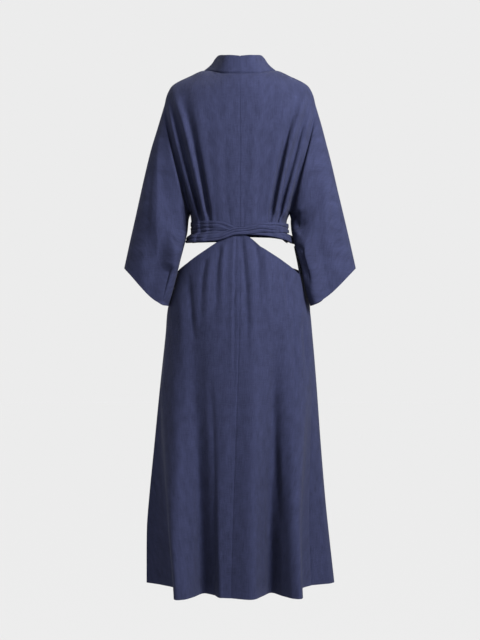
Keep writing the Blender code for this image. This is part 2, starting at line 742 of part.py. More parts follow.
def main():
    """Build every piece of the robe."""
    for old in list(bpy.data.objects):
        bpy.data.objects.remove(old, do_unlink=True)
    half_gap = SEAM_GAP / 2
    back_left = build_bodice("bodice_back_left", BACK_LINES, BACK, LEFT)
    back_right = build_bodice("bodice_back_right", BACK_LINES, BACK, RIGHT)
    front_left = build_bodice("bodice_front_left", FRONT_LINES, FRONT, LEFT)
    front_right = build_bodice("bodice_front_right", FRONT_LINES, FRONT, RIGHT, shift=under_lap)
    build_neckband("neckband_left", LEFT, back_left, front_left)
    build_neckband("neckband_right", RIGHT, back_right, front_right, shift=under_lap)
    build_strand("sash_strand_a", STRAND_A)
    build_strand("sash_strand_b", STRAND_B)
    build_knot("sash_knot")
    build_tail("sash_tail_long", TAIL_LONG)
    build_tail("sash_tail_short", TAIL_SHORT)
    build_skirt("skirt_back_left", SKIRT_BACK_LEFT, LEFT, centre_seam=True, side_seams=[(-1, half_gap)])
    build_skirt("skirt_back_right", SKIRT_BACK_RIGHT, RIGHT, centre_seam=True, side_seams=[(-1, half_gap)])
    build_skirt("skirt_front_left", SKIRT_FRONT_LEFT, LEFT, side_seams=[(0, -half_gap)])
    build_skirt(
        "skirt_front_right", SKIRT_FRONT_RIGHT, RIGHT, shift=skirt_under_lap, side_seams=[(0, -half_gap)]
    )


if __name__ == "__main__":
    main()
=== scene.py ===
"""Kimono robe with cut-outs at the waist, worn shape: its cloth, folds, seams, stitches and studio.

The tables are in millimetres and the meshes in metres, +Z up. The robe's back faces +Y, and the
wearer's left is at +X. The origin is at the base of the neck.
"""

import logging
import math
from bisect import bisect_right
from collections.abc import Callable
from dataclasses import dataclass, field
from enum import Enum

import bmesh
import bpy
import numpy as np
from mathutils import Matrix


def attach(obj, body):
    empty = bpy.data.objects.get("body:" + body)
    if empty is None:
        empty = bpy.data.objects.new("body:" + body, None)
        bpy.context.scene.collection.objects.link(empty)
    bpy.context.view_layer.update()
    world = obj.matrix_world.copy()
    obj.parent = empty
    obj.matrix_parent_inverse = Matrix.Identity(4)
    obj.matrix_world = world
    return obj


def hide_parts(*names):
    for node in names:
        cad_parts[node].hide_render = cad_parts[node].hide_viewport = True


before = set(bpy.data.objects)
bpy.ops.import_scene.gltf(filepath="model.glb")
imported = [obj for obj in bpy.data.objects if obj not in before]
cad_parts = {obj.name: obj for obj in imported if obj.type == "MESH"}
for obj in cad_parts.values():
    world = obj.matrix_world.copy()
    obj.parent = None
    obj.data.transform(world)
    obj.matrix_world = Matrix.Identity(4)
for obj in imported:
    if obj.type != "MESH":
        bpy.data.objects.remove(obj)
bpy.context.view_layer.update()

LOG = logging.getLogger("robe")
MM = 0.001
MIRROR = np.array([-1, 1, 1])
SHARP_DEGREES = 62
CLOTH_SLOT = "indigo_cloth"
BODY = "root"
Point = np.ndarray
Grid = np.ndarray


class Side(Enum):
    """The wearer's side."""

    LEFT = 1
    RIGHT = -1


class Face(Enum):
    """Back or front of the robe."""

    BACK = 1
    FRONT = -1


def clamp(value: float, low: float = 0.0, high: float = 1.0) -> float:
    """Hold a value between two limits."""
    return max(low, min(high, value))


def ramp(value: float, start: float, end: float) -> float:
    """Smooth step from 0 at start to 1 at end."""
    t = clamp((value - start) / (end - start))
    return t * t * (3 - 2 * t)


def ramps(values: np.ndarray, start: float, end: float) -> np.ndarray:
    """Smooth step of many values."""
    t = np.clip((values - start) / (end - start), 0.0, 1.0)
    return t * t * (3 - 2 * t)


def through(places: list[float], values: list, place: float) -> float | Point:
    """Smooth curve through values that stand at rising places.

    Args:
        places: rising places of the values.
        values: numbers or points, one for each place.
        place: where the curve is read.

    Returns:
        The number or point at that place.
    """
    last = len(places) - 1
    i = int(clamp(bisect_right(places, place) - 1, 0, last - 1))
    span = places[i + 1] - places[i]
    u = (place - places[i]) / span

    def slope(k: int) -> float | Point:
        """Slope of the curve at the k-th place."""
        low, high = max(k - 1, 0), min(k + 1, last)
        return (values[high] - values[low]) / (places[high] - places[low])

    rise = 2 * u**3 - 3 * u**2
    start_part = (rise + 1) * values[i] + (u**3 - 2 * u**2 + u) * span * slope(i)
    end_part = -rise * values[i + 1] + (u**3 - u**2) * span * slope(i + 1)
    return start_part + end_part


def level_value(table: tuple, column: str, z: float) -> float:
    """A column of a table of levels, read at height z.

    Args:
        table: rows with a height z each, from the top down.
        column: its name.
        z: the height.

    Returns:
        The value there.
    """
    places = [-row.z for row in table]
    values = [float(getattr(row, column)) for row in table]
    return through(places, values, clamp(-z, places[0], places[-1]))


def column_places(places: list[float], step: float) -> list[float]:
    """Places of all columns: each line's own, and even ones between two lines.

    Args:
        places: rising places of the lines.
        step: the widest distance between two columns.

    Returns:
        Rising places that hold every line's place.
    """
    out: list[float] = []
    for low, high in zip(places, places[1:]):
        between = max(1, math.ceil((high - low) / step))
        out += [low + (high - low) * k / between for k in range(between)]
    return out + [places[-1]]


def cloth_places(grid: Grid) -> np.ndarray:
    """Where each point lies on the flat cloth, in metres: across along the weft, down along the warp.

    Args:
        grid: rows of points, from the top down.

    Returns:
        An array of (across, down) for each point.
    """
    across = np.linalg.norm(np.diff(grid[:, :, :2], axis=1), axis=2)
    down = np.linalg.norm(np.diff(grid[:, :, 1:], axis=0), axis=2)
    starts = np.zeros((len(grid), 1))
    u = np.abs(grid[:, :1, 0]) + np.concatenate([starts, np.cumsum(across, axis=1)], axis=1)
    v = -grid[:1, :, 2] + np.concatenate([np.zeros((1, grid.shape[1])), np.cumsum(down, axis=0)], axis=0)
    return np.stack([u, v], axis=2) * MM


def spline(points: tuple, count: int) -> np.ndarray:
    """Points along a smooth curve through a few points.

    Args:
        points: the points that the curve passes.
        count: how many points come back.

    Returns:
        An array of points, evenly spread over the given ones.
    """
    places = [float(k) for k in range(len(points))]
    values = [np.array(p, dtype=float) for p in points]
    return np.array([through(places, values, t) for t in np.linspace(0, places[-1], count)])


def moved(grid: Grid, *moves: Callable[[Point], Point]) -> Grid:
    """Move every point of a grid.

    Args:
        grid: rows of points.
        moves: what is done to each point, in turn.

    Returns:
        The moved points, row by row.
    """
    for move in moves:
        grid = np.array([[move(point) for point in row] for row in grid])
    return grid


def run_along(points: np.ndarray) -> np.ndarray:
    """Distance of each point of a row from its first one, along the row."""
    steps = np.linalg.norm(np.diff(points, axis=0), axis=1)
    return np.concatenate([[0.0], np.cumsum(steps)])


@dataclass(frozen=True)
class Fold:
    """A soft ridge (height over 0) or trough (under 0) that follows a path across the robe.

    path holds (x, z) places seen from the back. left and right are how far the fold reaches on
    each side of its path, looking down it. crisp runs from 0, a soft roll, to 1, a pressed edge.
    starts and ends are the shares of its length over which it rises and fades.
    """

    path: tuple[tuple[float, float], ...]
    height: float
    left: float
    right: float
    crisp: float = 0.0
    starts: float = 0.3
    ends: float = 0.3
    samples: int = 28

    def push(self, points: np.ndarray) -> np.ndarray:
        """How far the fold moves each point along its normal, in millimetres.

        Args:
            points: their places in millimetres.

        Returns:
            One distance for each point.
        """
        curve = spline(self.path, self.samples)
        x, z = points[:, 0], points[:, 2]
        nearest = np.full(len(points), 1e9)
        side = np.zeros(len(points))
        along = np.zeros(len(points))
        for k, (a, b) in enumerate(zip(curve, curve[1:])):
            step = b - a
            reach = np.clip(((x - a[0]) * step[0] + (z - a[1]) * step[1]) / step.dot(step), 0.0, 1.0)
            dx, dz = x - a[0] - reach * step[0], z - a[1] - reach * step[1]
            distance = np.hypot(dx, dz)
            closer = distance < nearest
            nearest[closer] = distance[closer]
            side[closer] = (step[0] * dz - step[1] * dx)[closer]
            along[closer] = ((k + reach) / (self.samples - 1))[closer]
        share = nearest / np.where(side > 0, self.left, self.right)
        shape = np.exp(-(share ** (2.0 - self.crisp)))
        rise = ramps(along, 0.0, self.starts) if self.starts > 0 else 1.0
        fade = 1 - ramps(along, 1 - self.ends, 1.0) if self.ends > 0 else 1.0
        return self.height * shape * rise * fade

    def mirrored(self) -> "Fold":
        """The same fold on the other side of the robe."""
        path = tuple((-x, z) for x, z in self.path)
        return Fold(path, self.height, self.right, self.left, self.crisp, self.starts, self.ends)


class Cloth:
    """One sheet of cloth: grids of points that share their edges, folded and then given a wall."""

    def __init__(self, name: str) -> None:
        """Start an empty sheet.

        Args:
            name: the name of its object.
        """
        self.name = name
        self.points: list[Point] = []
        self.index: dict[tuple, int] = {}
        self.faces: list[list[int]] = []
        self.places: list[list[tuple]] = []
        self.flat: dict[int, set[int]] = {}
        self.set_normals: dict[int, tuple] = {}

    def vertex(self, point: Point) -> int:
        """Number of a point, shared when it is already there.

        Args:
            point: its place in millimetres.

        Returns:
            Its number in the sheet.
        """
        key = tuple(round(float(c), 3) for c in point)
        if key not in self.index:
            self.index[key] = len(self.points)
            self.points.append(np.array(point, dtype=float))
        return self.index[key]

    def add_grid(self, grid: Grid, turn: int, places: np.ndarray | None = None) -> np.ndarray:
        """Add a grid of points.

        Args:
            grid: rows of points in millimetres.
            turn: 1 or -1, which way its faces point.
            places: where each point lies on the flat cloth, or None to work it out.

        Returns:
            The numbers of its points, row by row.
        """
        where = cloth_places(np.array(grid)) if places is None else places
        numbers = np.array([[self.vertex(p) for p in row] for row in grid])
        for i in range(len(numbers) - 1):
            for j in range(len(numbers[0]) - 1):
                corners = [(i, j), (i, j + 1), (i + 1, j + 1), (i + 1, j)]
                if turn < 0:
                    corners = [corners[0], corners[3], corners[2], corners[1]]
                kept = {int(numbers[c]): tuple(where[c]) for c in corners}
                if len(kept) > 2:
                    self.faces.append(list(kept))
                    self.places.append(list(kept.values()))
        return numbers

    def seam(self, numbers: list[int], axis: int, value: float | None, offset: float = 0.0) -> None:
        """Hold an edge flat across an axis.

        Args:
            numbers: the edge's points.
            axis: 0, 1 or 2.
            value: where the edge goes, or None to leave it.
            offset: how far it is moved from there.
        """
        for number in numbers:
            if axis in self.flat.get(int(number), set()):
                continue
            point = self.points[int(number)]
            point[axis] = (point[axis] if value is None else value) + offset
            self.flat.setdefault(int(number), set()).add(axis)

    def normals(self) -> np.ndarray:
        """Outward direction at each point, flat where an edge is sewn.

        Returns:
            One unit vector for each point.
        """
        out = np.zeros((len(self.points), 3))
        corners = np.array([f if len(f) == 4 else f + f[-1:] for f in self.faces])
        p = np.array(self.points)[corners]
        face_normals = np.cross(p[:, 2] - p[:, 0], p[:, 3] - p[:, 1])
        np.add.at(out, corners.ravel(), np.repeat(face_normals, 4, axis=0))
        for number, axes in self.flat.items():
            out[number][list(axes)] = 0.0
        for number, normal in self.set_normals.items():
            out[number] = normal
        return out / np.maximum(np.linalg.norm(out, axis=1), 1e-9)[:, None]

    def push(self, amounts: np.ndarray) -> None:
        """Move every point along its normal by its own amount."""
        moved = np.array(self.points) + self.normals() * amounts[:, None]
        self.points = list(moved)

    def fold(self, folds: tuple[Fold, ...], ridges: np.ndarray, troughs: np.ndarray) -> None:
        """Lay folds into the sheet.

        Args:
            folds: the folds, seen from the back or front as the sheet is.
            ridges: 0 to 1 for each point, less where something keeps the cloth from standing out.
            troughs: 0 to 1 for each point, less where something keeps it from sinking in.
        """
        points = np.array(self.points)
        amounts = np.zeros(len(points))
        for one in folds:
            amounts += one.push(points)
        self.push(np.where(amounts > 0, amounts * ridges, amounts * troughs))

    def borders(self) -> dict[tuple[int, int], tuple]:
        """The sheet's edges that only one face has, each with the cloth places of its ends.

        Returns:
            The two cloth places of each edge, by the numbers of its ends.
        """
        edges: dict[tuple[int, int], tuple] = {}
        for face, where in zip(self.faces, self.places):
            for k, a in enumerate(face):
                m = (k + 1) % len(face)
                edges[(a, face[m])] = (where[k], where[m])
        return {edge: where for edge, where in edges.items() if (edge[1], edge[0]) not in edges}

    def turn_in(self, numbers: np.ndarray, inner: np.ndarray, depth: float, reach: float = 4.0) -> None:
        """Turn a seam allowance in along an edge and lay it behind the neighbour, so that no light passes.

        Args:
            numbers: the edge's points in order.
            inner: the points next to them, inside the sheet.
            depth: how far the allowance lies behind the surface.
            reach: how far it goes past the edge.
        """
        edge = dict.fromkeys(int(n) for n in numbers)
        beside = {int(a): int(b) for a, b in zip(numbers, inner)}
        outward = self.normals()
        borders = self.borders()
        for number in edge:
            point, normal = self.points[number], outward[number]
            past = point - self.points[beside[number]]
            past = past - normal * normal.dot(past)
            past = past / max(np.linalg.norm(past), 1e-9)
            edge[number] = len(self.points)
            self.points.append(point - normal * depth)
            self.points.append(point - normal * depth + past * reach)
        for a, b in zip(list(edge), list(edge)[1:]):
            if (a, b) not in borders and (b, a) not in borders:
                continue
            first, last = (a, b) if (a, b) in borders else (b, a)
            place_a, place_b = borders[(first, last)]
            self.faces.append([last, first, edge[first], edge[last]])
            self.faces.append([edge[last], edge[first], edge[first] + 1, edge[last] + 1])
            self.places += [[place_b, place_a, place_a, place_b]] * 2

    def dip(self, numbers: np.ndarray, depth: float, width: float) -> None:
        """Sink the cloth towards an edge.

        Args:
            numbers: numbers of its points, the edge as the first row and further rows inside it.
            depth: how far the edge itself sinks.
            width: how far from the edge the sinking reaches.
        """
        points = np.array(self.points)
        amounts = np.zeros(len(points))
        for column in numbers.T:
            amounts[column] = -depth * np.exp(-((run_along(points[column]) / width) ** 2))
        self.push(amounts)

    def build(self, wall: float | np.ndarray) -> bpy.types.Object:
        """Give the sheet its thickness and make the object.

        Args:
            wall: thickness of the cloth in millimetres, laid inwards, one value or one for each point.

        Returns:
            The object, in metres, at the origin.
        """
        outward = self.normals()
        count = len(self.points)
        outer = np.array(self.points)
        thick = np.full(count, wall) if np.isscalar(wall) else wall
        points = np.concatenate([outer, outer - outward * thick[:, None]]) * MM
        faces = self.faces + [[n + count for n in reversed(f)] for f in self.faces]
        places = self.places + [list(reversed(p)) for p in self.places]
        for (a, b), (place_a, place_b) in self.borders().items():
            faces.append([b, a, a + count, b + count])
            places.append([place_b, place_a, place_a, place_b])
        return make_object(self.name, points, faces, places)


def make_object(name: str, points: np.ndarray, faces: list, places: list | None = None) -> bpy.types.Object:
    """A smooth mesh object at the origin.

    Args:
        name: the object's name.
        points: its points in metres.
        faces: lists of point numbers.
        places: the cloth place of each corner of each face, kept as the UV map.

    Returns:
        The new object, linked to the scene.
    """
    mesh = bpy.data.meshes.new(name)
    mesh.from_pydata(points.tolist(), [], faces)
    if places is not None:
        flat = np.array([place for corners in places for place in corners], dtype=np.float32)
        mesh.uv_layers.new(name="cloth").data.foreach_set("uv", flat.ravel())
    mesh.shade_smooth()
    mesh.set_sharp_from_angle(angle=math.radians(SHARP_DEGREES))
    obj = bpy.data.objects.new(name, mesh)
    bpy.context.scene.collection.objects.link(obj)
    return obj


@dataclass(frozen=True)
class Torso:
    """Half width and half depths of the plain bodice at one level."""

    z: float
    width: float
    back: float
    front: float


@dataclass(frozen=True)
class Line:
    """A line of cloth from the neck or shoulder to the waist. fold is out (over 0) or in."""

    place: float
    start_x: float
    start_z: float
    mid_x: float
    mid_z: float
    level_x: float
    waist_x: float
    waist_z: float
    fold: float = 0.0
    lean: float = 1.0


@dataclass(frozen=True)
class SleeveLine:
    """A line round the sleeve, from the overarm to the underarm edge."""

    place: float
    top_x: float
    top_z: float
    end_x: float
    end_z: float
    depth: float
    fold: float
    sag: float


@dataclass(frozen=True)
class BandPlace:
    """How far the neckband's free edge stands from its sewn edge."""

    place: float
    off_x: float
    off_y: float
    off_z: float


NECK_SIDE_X, NECK_SIDE_Z, NECK_LINE_Z = 92.0, 2.0, 33.0
TORSO = (
    Torso(40, 200, 90, 84),
    Torso(-60, 200, 94, 96),
    Torso(-130, 194, 98, 110),
    Torso(-200, 180, 98, 116),
    Torso(-290, 150, 94, 106),
    Torso(-352, 125, 91, 95),
    Torso(-428, 120, 88, 88),
)
BACK_LINES = (
    Line(0, 0, -17, 0, -180, 0, 0, -410.0, 0, 0.25),
    Line(40, 45, -14.5, 40, -180, 33, 26, -410.2, 0, 0.25),
    Line(78, NECK_SIDE_X, NECK_SIDE_Z, 76, -180, 56, 46, -413, 0, 0.30),
    Line(100, 128, -13, 97, -185, 69, 60, -420, 2, 0.45),
    Line(114, 156, -26, 111, -190, 79, 71, -425, -7, 0.60),
    Line(126, 171, -37, 124, -195, 89, 81, -427, 7, 0.72),
    Line(138, 180, -52, 137, -200, 100, 92, -428, -8, 0.85),
    Line(150, 185, -66, 150, -208, 110, 103, -428, 6, 0.96),
)
FRONT_LINES = (
    Line(14, NECK_SIDE_X, NECK_SIDE_Z, 38, -170, -28, -42, -404, 0, 0.30),
    Line(52, 106, -4, 66, -180, 20, 4, -404, 2, 0.30),
    Line(82, 128, -13, 92, -185, 56, 44, -404, 0, 0.40),
    Line(108, 154, -25, 112, -190, 78, 68, -409, -2, 0.58),
    Line(124, 171, -37, 129, -195, 92, 83, -415, 6, 0.74),
    Line(142, 182, -57, 146, -203, 106, 98, -422, -7, 0.88),
)
JUNCTION = Line(163, 188.5, -82, 163, -215, 125, 119, -428, 47)
SLEEVE_LINES = (
    SleeveLine(176, 195, -104, 128.5, -372, 52, 5, 0),
    SleeveLine(200, 205, -138, 131, -401, 57, 0, 0),
    SleeveLine(236, 223, -207, 138.5, -438, 60, -4, 0),
    SleeveLine(272, 243, -288, 147, -473, 60, 4, 0),
    SleeveLine(312, 262, -365, 158.5, -520, 60, -3, 1.5),
    SleeveLine(338, 277, -428, 169, -559, 60, 0, 5),
    SleeveLine(360, 291, -490, 177, -585.5, 60, 0, 9),
)
BAND_FREE_EDGE = (
    BandPlace(0.0, 0, -10, 44.5),
    BandPlace(0.4, -7, -11, 47),
    BandPlace(0.75, -16.5, -13, 44),
    BandPlace(1.0, -29.5, -10, 34),
    BandPlace(1.15, -38, -4, 20),
    BandPlace(1.35, -40, 0, 13),
    BandPlace(2.5, -40, 0, 12),
)
TORSO_POWER = 2.3
SHOULDER_ROUND = {Face.BACK: 110.0, Face.FRONT: 125.0}
WAIST_DROP = 300.0
UNDERARM_Z = -352.0
FOLD_RISES, FOLD_FADES, WAIST_FOLD = (0.05, 0.5), (0.85, 1.3), 0.15
SLEEVE_FORWARD, SLEEVE_SWINGS_X, SLEEVE_SWINGS_DOWN = 18.0, (125, 290), (40, 480)
EDGE_BEHIND, EDGE_BEHIND_WIDTH, EDGE_BEHIND_DOWN, EDGE_BEHIND_X = 40.0, 60.0, (374, 470), (123, 128.5)
SAG_POWER = 1.4
EVEN_SPACING = 0.35
NIP, NIP_STARTS, NIP_ENDS, NIP_ACROSS = 5.0, (352, 374), (392, 412), (60, 112)
HITCH, HITCH_DOWN, HITCH_STARTS, HITCH_ENDS = 12.0, (400, 428), (46, 66), (100, 119)
TUCK, TUCK_DOWN, TUCK_ACROSS = 3.2, (490, 545), (180, 230)
TUCK_WAIST, TUCK_WAIST_STARTS, TUCK_WAIST_ENDS = 2.5, (356, 380), (440, 480)
DROOP, DROOP_ABOVE, DROOP_FROM, DROOP_TO = 6.5, 60.0, (291, -490), (177, -585.5)
LAP, LAP_INSIDE, LAP_DOWN = 8.5, (-24, -5), (40, 90)
BAND_LIES_FLAT = (1.0, 1.35)


@dataclass(frozen=True)
class BodyForm:
    """The worn shape of the bodice, sleeves and neckband, as the solids have it."""

    torso: tuple[Torso, ...] = TORSO
    back: tuple[Line, ...] = BACK_LINES
    front: tuple[Line, ...] = FRONT_LINES
    junction: Line = JUNCTION
    sleeve: tuple[SleeveLine, ...] = SLEEVE_LINES
    band: tuple[BandPlace, ...] = BAND_FREE_EDGE

    def neck_line(self, x: float) -> float:
        """Height of the shoulder line, carried on across the neck."""
        return NECK_LINE_Z + (NECK_SIDE_Z - NECK_LINE_Z) * abs(x) / NECK_SIDE_X

    def depth(self, face: Face, x: float, z: float, drop: float) -> float:
        """Depth of the plain bodice, with drop measured down from the shoulder line.

        Args:
            face: back or front.
            x: place across the robe.
            z: the height.
            drop: distance below the shoulder line.

        Returns:
            Distance from the robe's middle plane.
        """
        width = level_value(self.torso, "width", z)
        deep = level_value(self.torso, face.name.lower(), z)
        across = clamp(abs(x) / width) ** TORSO_POWER
        side = max(0.0, 1 - across) ** (1 / TORSO_POWER)
        reach = clamp(drop / SHOULDER_ROUND[face])
        return deep * side * math.sqrt(max(0.0, 1 - (1 - reach) ** 2))

    def spacing(self, r: float, lean: float) -> float:
        """Share of the way down at row share r."""
        body = EVEN_SPACING * r + (1 - EVEN_SPACING) * r * r
        return (1 - lean) * body + lean * (1 - math.cos(math.pi * r)) / 2

    def forward(self, x: float, z: float) -> float:
        """How far the hanging sleeve lies forward of the shoulder, its underarm edge behind the hip.

        Args:
            x: place across the robe.
            z: the height.

        Returns:
            The distance, under 0 towards the front.
        """
        forward = -SLEEVE_FORWARD * ramp(abs(x), *SLEEVE_SWINGS_X) * ramp(-z, *SLEEVE_SWINGS_DOWN)
        heights = [-line.end_z for line in self.sleeve]
        edge = float(np.interp(-z, heights, [line.end_x for line in self.sleeve]))
        near = (1 - ramp(abs(x) - edge, 0, EDGE_BEHIND_WIDTH)) * ramp(abs(x), *EDGE_BEHIND_X)
        return forward + EDGE_BEHIND * near * ramp(-z, *EDGE_BEHIND_DOWN)

    def line_x(self, line: Line, z: float) -> float:
        """Where a body line stands across the robe at height z.

        Args:
            line: the line.
            z: the height.

        Returns:
            Its place across the robe.
        """
        heights = [-line.start_z, -line.mid_z, -UNDERARM_Z, -line.waist_z]
        xs = [line.start_x, line.mid_x, line.level_x, line.waist_x]
        return through(heights, xs, clamp(-z, heights[0], heights[-1]))

    def height(self, line: Line, r: float) -> float:
        """Height of a body line's point at row share r: 1 is underarm level, 2 the waist.

        Args:
            line: the line.
            r: the row share.

        Returns:
            The height in millimetres.
        """
        if r <= 1:
            return line.start_z + (UNDERARM_Z - line.start_z) * self.spacing(r, line.lean)
        return UNDERARM_Z + (line.waist_z - UNDERARM_Z) * (r - 1)

    def body_point(self, line: Line, face: Face, r: float) -> Point:
        """Point of a body line at row share r.

        Args:
            line: the line.
            face: back or front.
            r: the row share.

        Returns:
            The point in millimetres.
        """
        z = self.height(line, r)
        x = self.line_x(line, z)
        seam_z = max(line.start_z, self.neck_line(x)) if abs(line.start_x) < NECK_SIDE_X else line.start_z
        strength = ramp(r, *FOLD_RISES) * (1 - (1 - WAIST_FOLD) * ramp(r, *FOLD_FADES))
        y = self.depth(face, x, z, seam_z - z) + line.fold * strength
        return np.array([x, face.value * y + self.forward(x, z), z])

    def junction_point(self, face: Face, r: float) -> Point:
        """Point of the line that body and sleeve share, and of the side below it.

        Args:
            face: back or front.
            r: the row share.

        Returns:
            The point in millimetres.
        """
        z = self.height(self.junction, r)
        x = self.line_x(self.junction, z)
        y = self.junction.fold * math.sin(math.pi * r) if r <= 1 else 0.0
        return np.array([x, face.value * y + self.forward(x, z), z])

    def sleeve_point(self, line: SleeveLine, face: Face, r: float) -> Point:
        """Point of a sleeve line, half an ellipse from the overarm to the underarm edge.

        Args:
            line: the line.
            face: back or front.
            r: the row share.

        Returns:
            The point in millimetres.
        """
        share = self.spacing(r, 1.0)
        x = line.top_x + (line.end_x - line.top_x) * share
        z = line.top_z + (line.end_z - line.top_z) * share - line.sag * math.sin(math.pi * share**SAG_POWER)
        y = (line.depth + line.fold) * math.sin(math.pi * r)
        return np.array([x, face.value * y + self.forward(x, z), z])

    def waist_point(self, side: int, face: Face, place: float, z: float) -> Point:
        """Point of the bodice under the sash at height z, at a place across its lines.

        Args:
            side: 1 for the wearer's left, -1 for the right.
            face: back or front.
            place: place across its lines.
            z: the height.

        Returns:
            The point in millimetres.
        """
        lines = self.back if face is Face.BACK else self.front
        points = []
        for line in lines:
            x = self.line_x(line, z)
            y = self.depth(face, x, z, WAIST_DROP) + line.fold * WAIST_FOLD
            points.append(np.array([side * x, face.value * y, z]))
        points.append(np.array([side * self.line_x(self.junction, z), 0.0, z]))
        return through([line.place for line in lines] + [self.junction.place], points, place)

    def under_lap(self, point: Point) -> Point:
        """Push a point of the under lap in where the upper lap lies over it.

        Args:
            point: its place in millimetres.

        Returns:
            Its new place.
        """
        x, y, z = point
        free = self.band[-1]
        free_x = self.line_x(self.front[0], z + free.off_z) + free.off_x
        return np.array([x, y + LAP * ramp(x - free_x, *LAP_INSIDE) * ramp(-z, *LAP_DOWN), z])


def nip(point: Point) -> Point:
    """Draw the wearer's right side in a little where the sash holds it.

    Args:
        point: its place in millimetres.

    Returns:
        Its new place.
    """
    x, y, z = point
    level = ramp(-z, *NIP_STARTS) * (1 - ramp(-z, *NIP_ENDS))
    return np.array([x + NIP * level * ramp(-x, *NIP_ACROSS), y, z])


def hitch(point: Point) -> Point:
    """Lift the bodice's lower edge at the right, so that the sash covers it.

    Args:
        point: its place in millimetres.

    Returns:
        Its new place.
    """
    x, y, z = point
    across = ramp(-x, *HITCH_STARTS) * (1 - ramp(-x, *HITCH_ENDS))
    return np.array([x, y, z + HITCH * ramp(-z, *HITCH_DOWN) * across])


def tuck(point: Point) -> Point:
    """Let the right sleeve's inner edge lie close to the waist and the hip.

    Args:
        point: its place in millimetres.

    Returns:
        Its new place.
    """
    x, y, z = point
    at_waist = TUCK_WAIST * ramp(-z, *TUCK_WAIST_STARTS) * (1 - ramp(-z, *TUCK_WAIST_ENDS))
    at_hip = TUCK * ramp(-z, *TUCK_DOWN)
    return np.array([x + (at_waist + at_hip) * (1 - ramp(-x, *TUCK_ACROSS)), y, z])


def droop(point: Point) -> Point:
    """Let the left cuff hang a little lower towards the underarm.

    Args:
        point: its place in millimetres.

    Returns:
        Its new place.
    """
    x, y, z = point
    share = clamp((DROOP_FROM[0] - x) / (DROOP_FROM[0] - DROOP_TO[0]))
    cuff_z = DROOP_FROM[1] + (DROOP_TO[1] - DROOP_FROM[1]) * share
    near = clamp(1 - (z - cuff_z) / DROOP_ABOVE)
    return np.array([x, y, z - DROOP * math.sin(math.pi * share * share) * near * near])


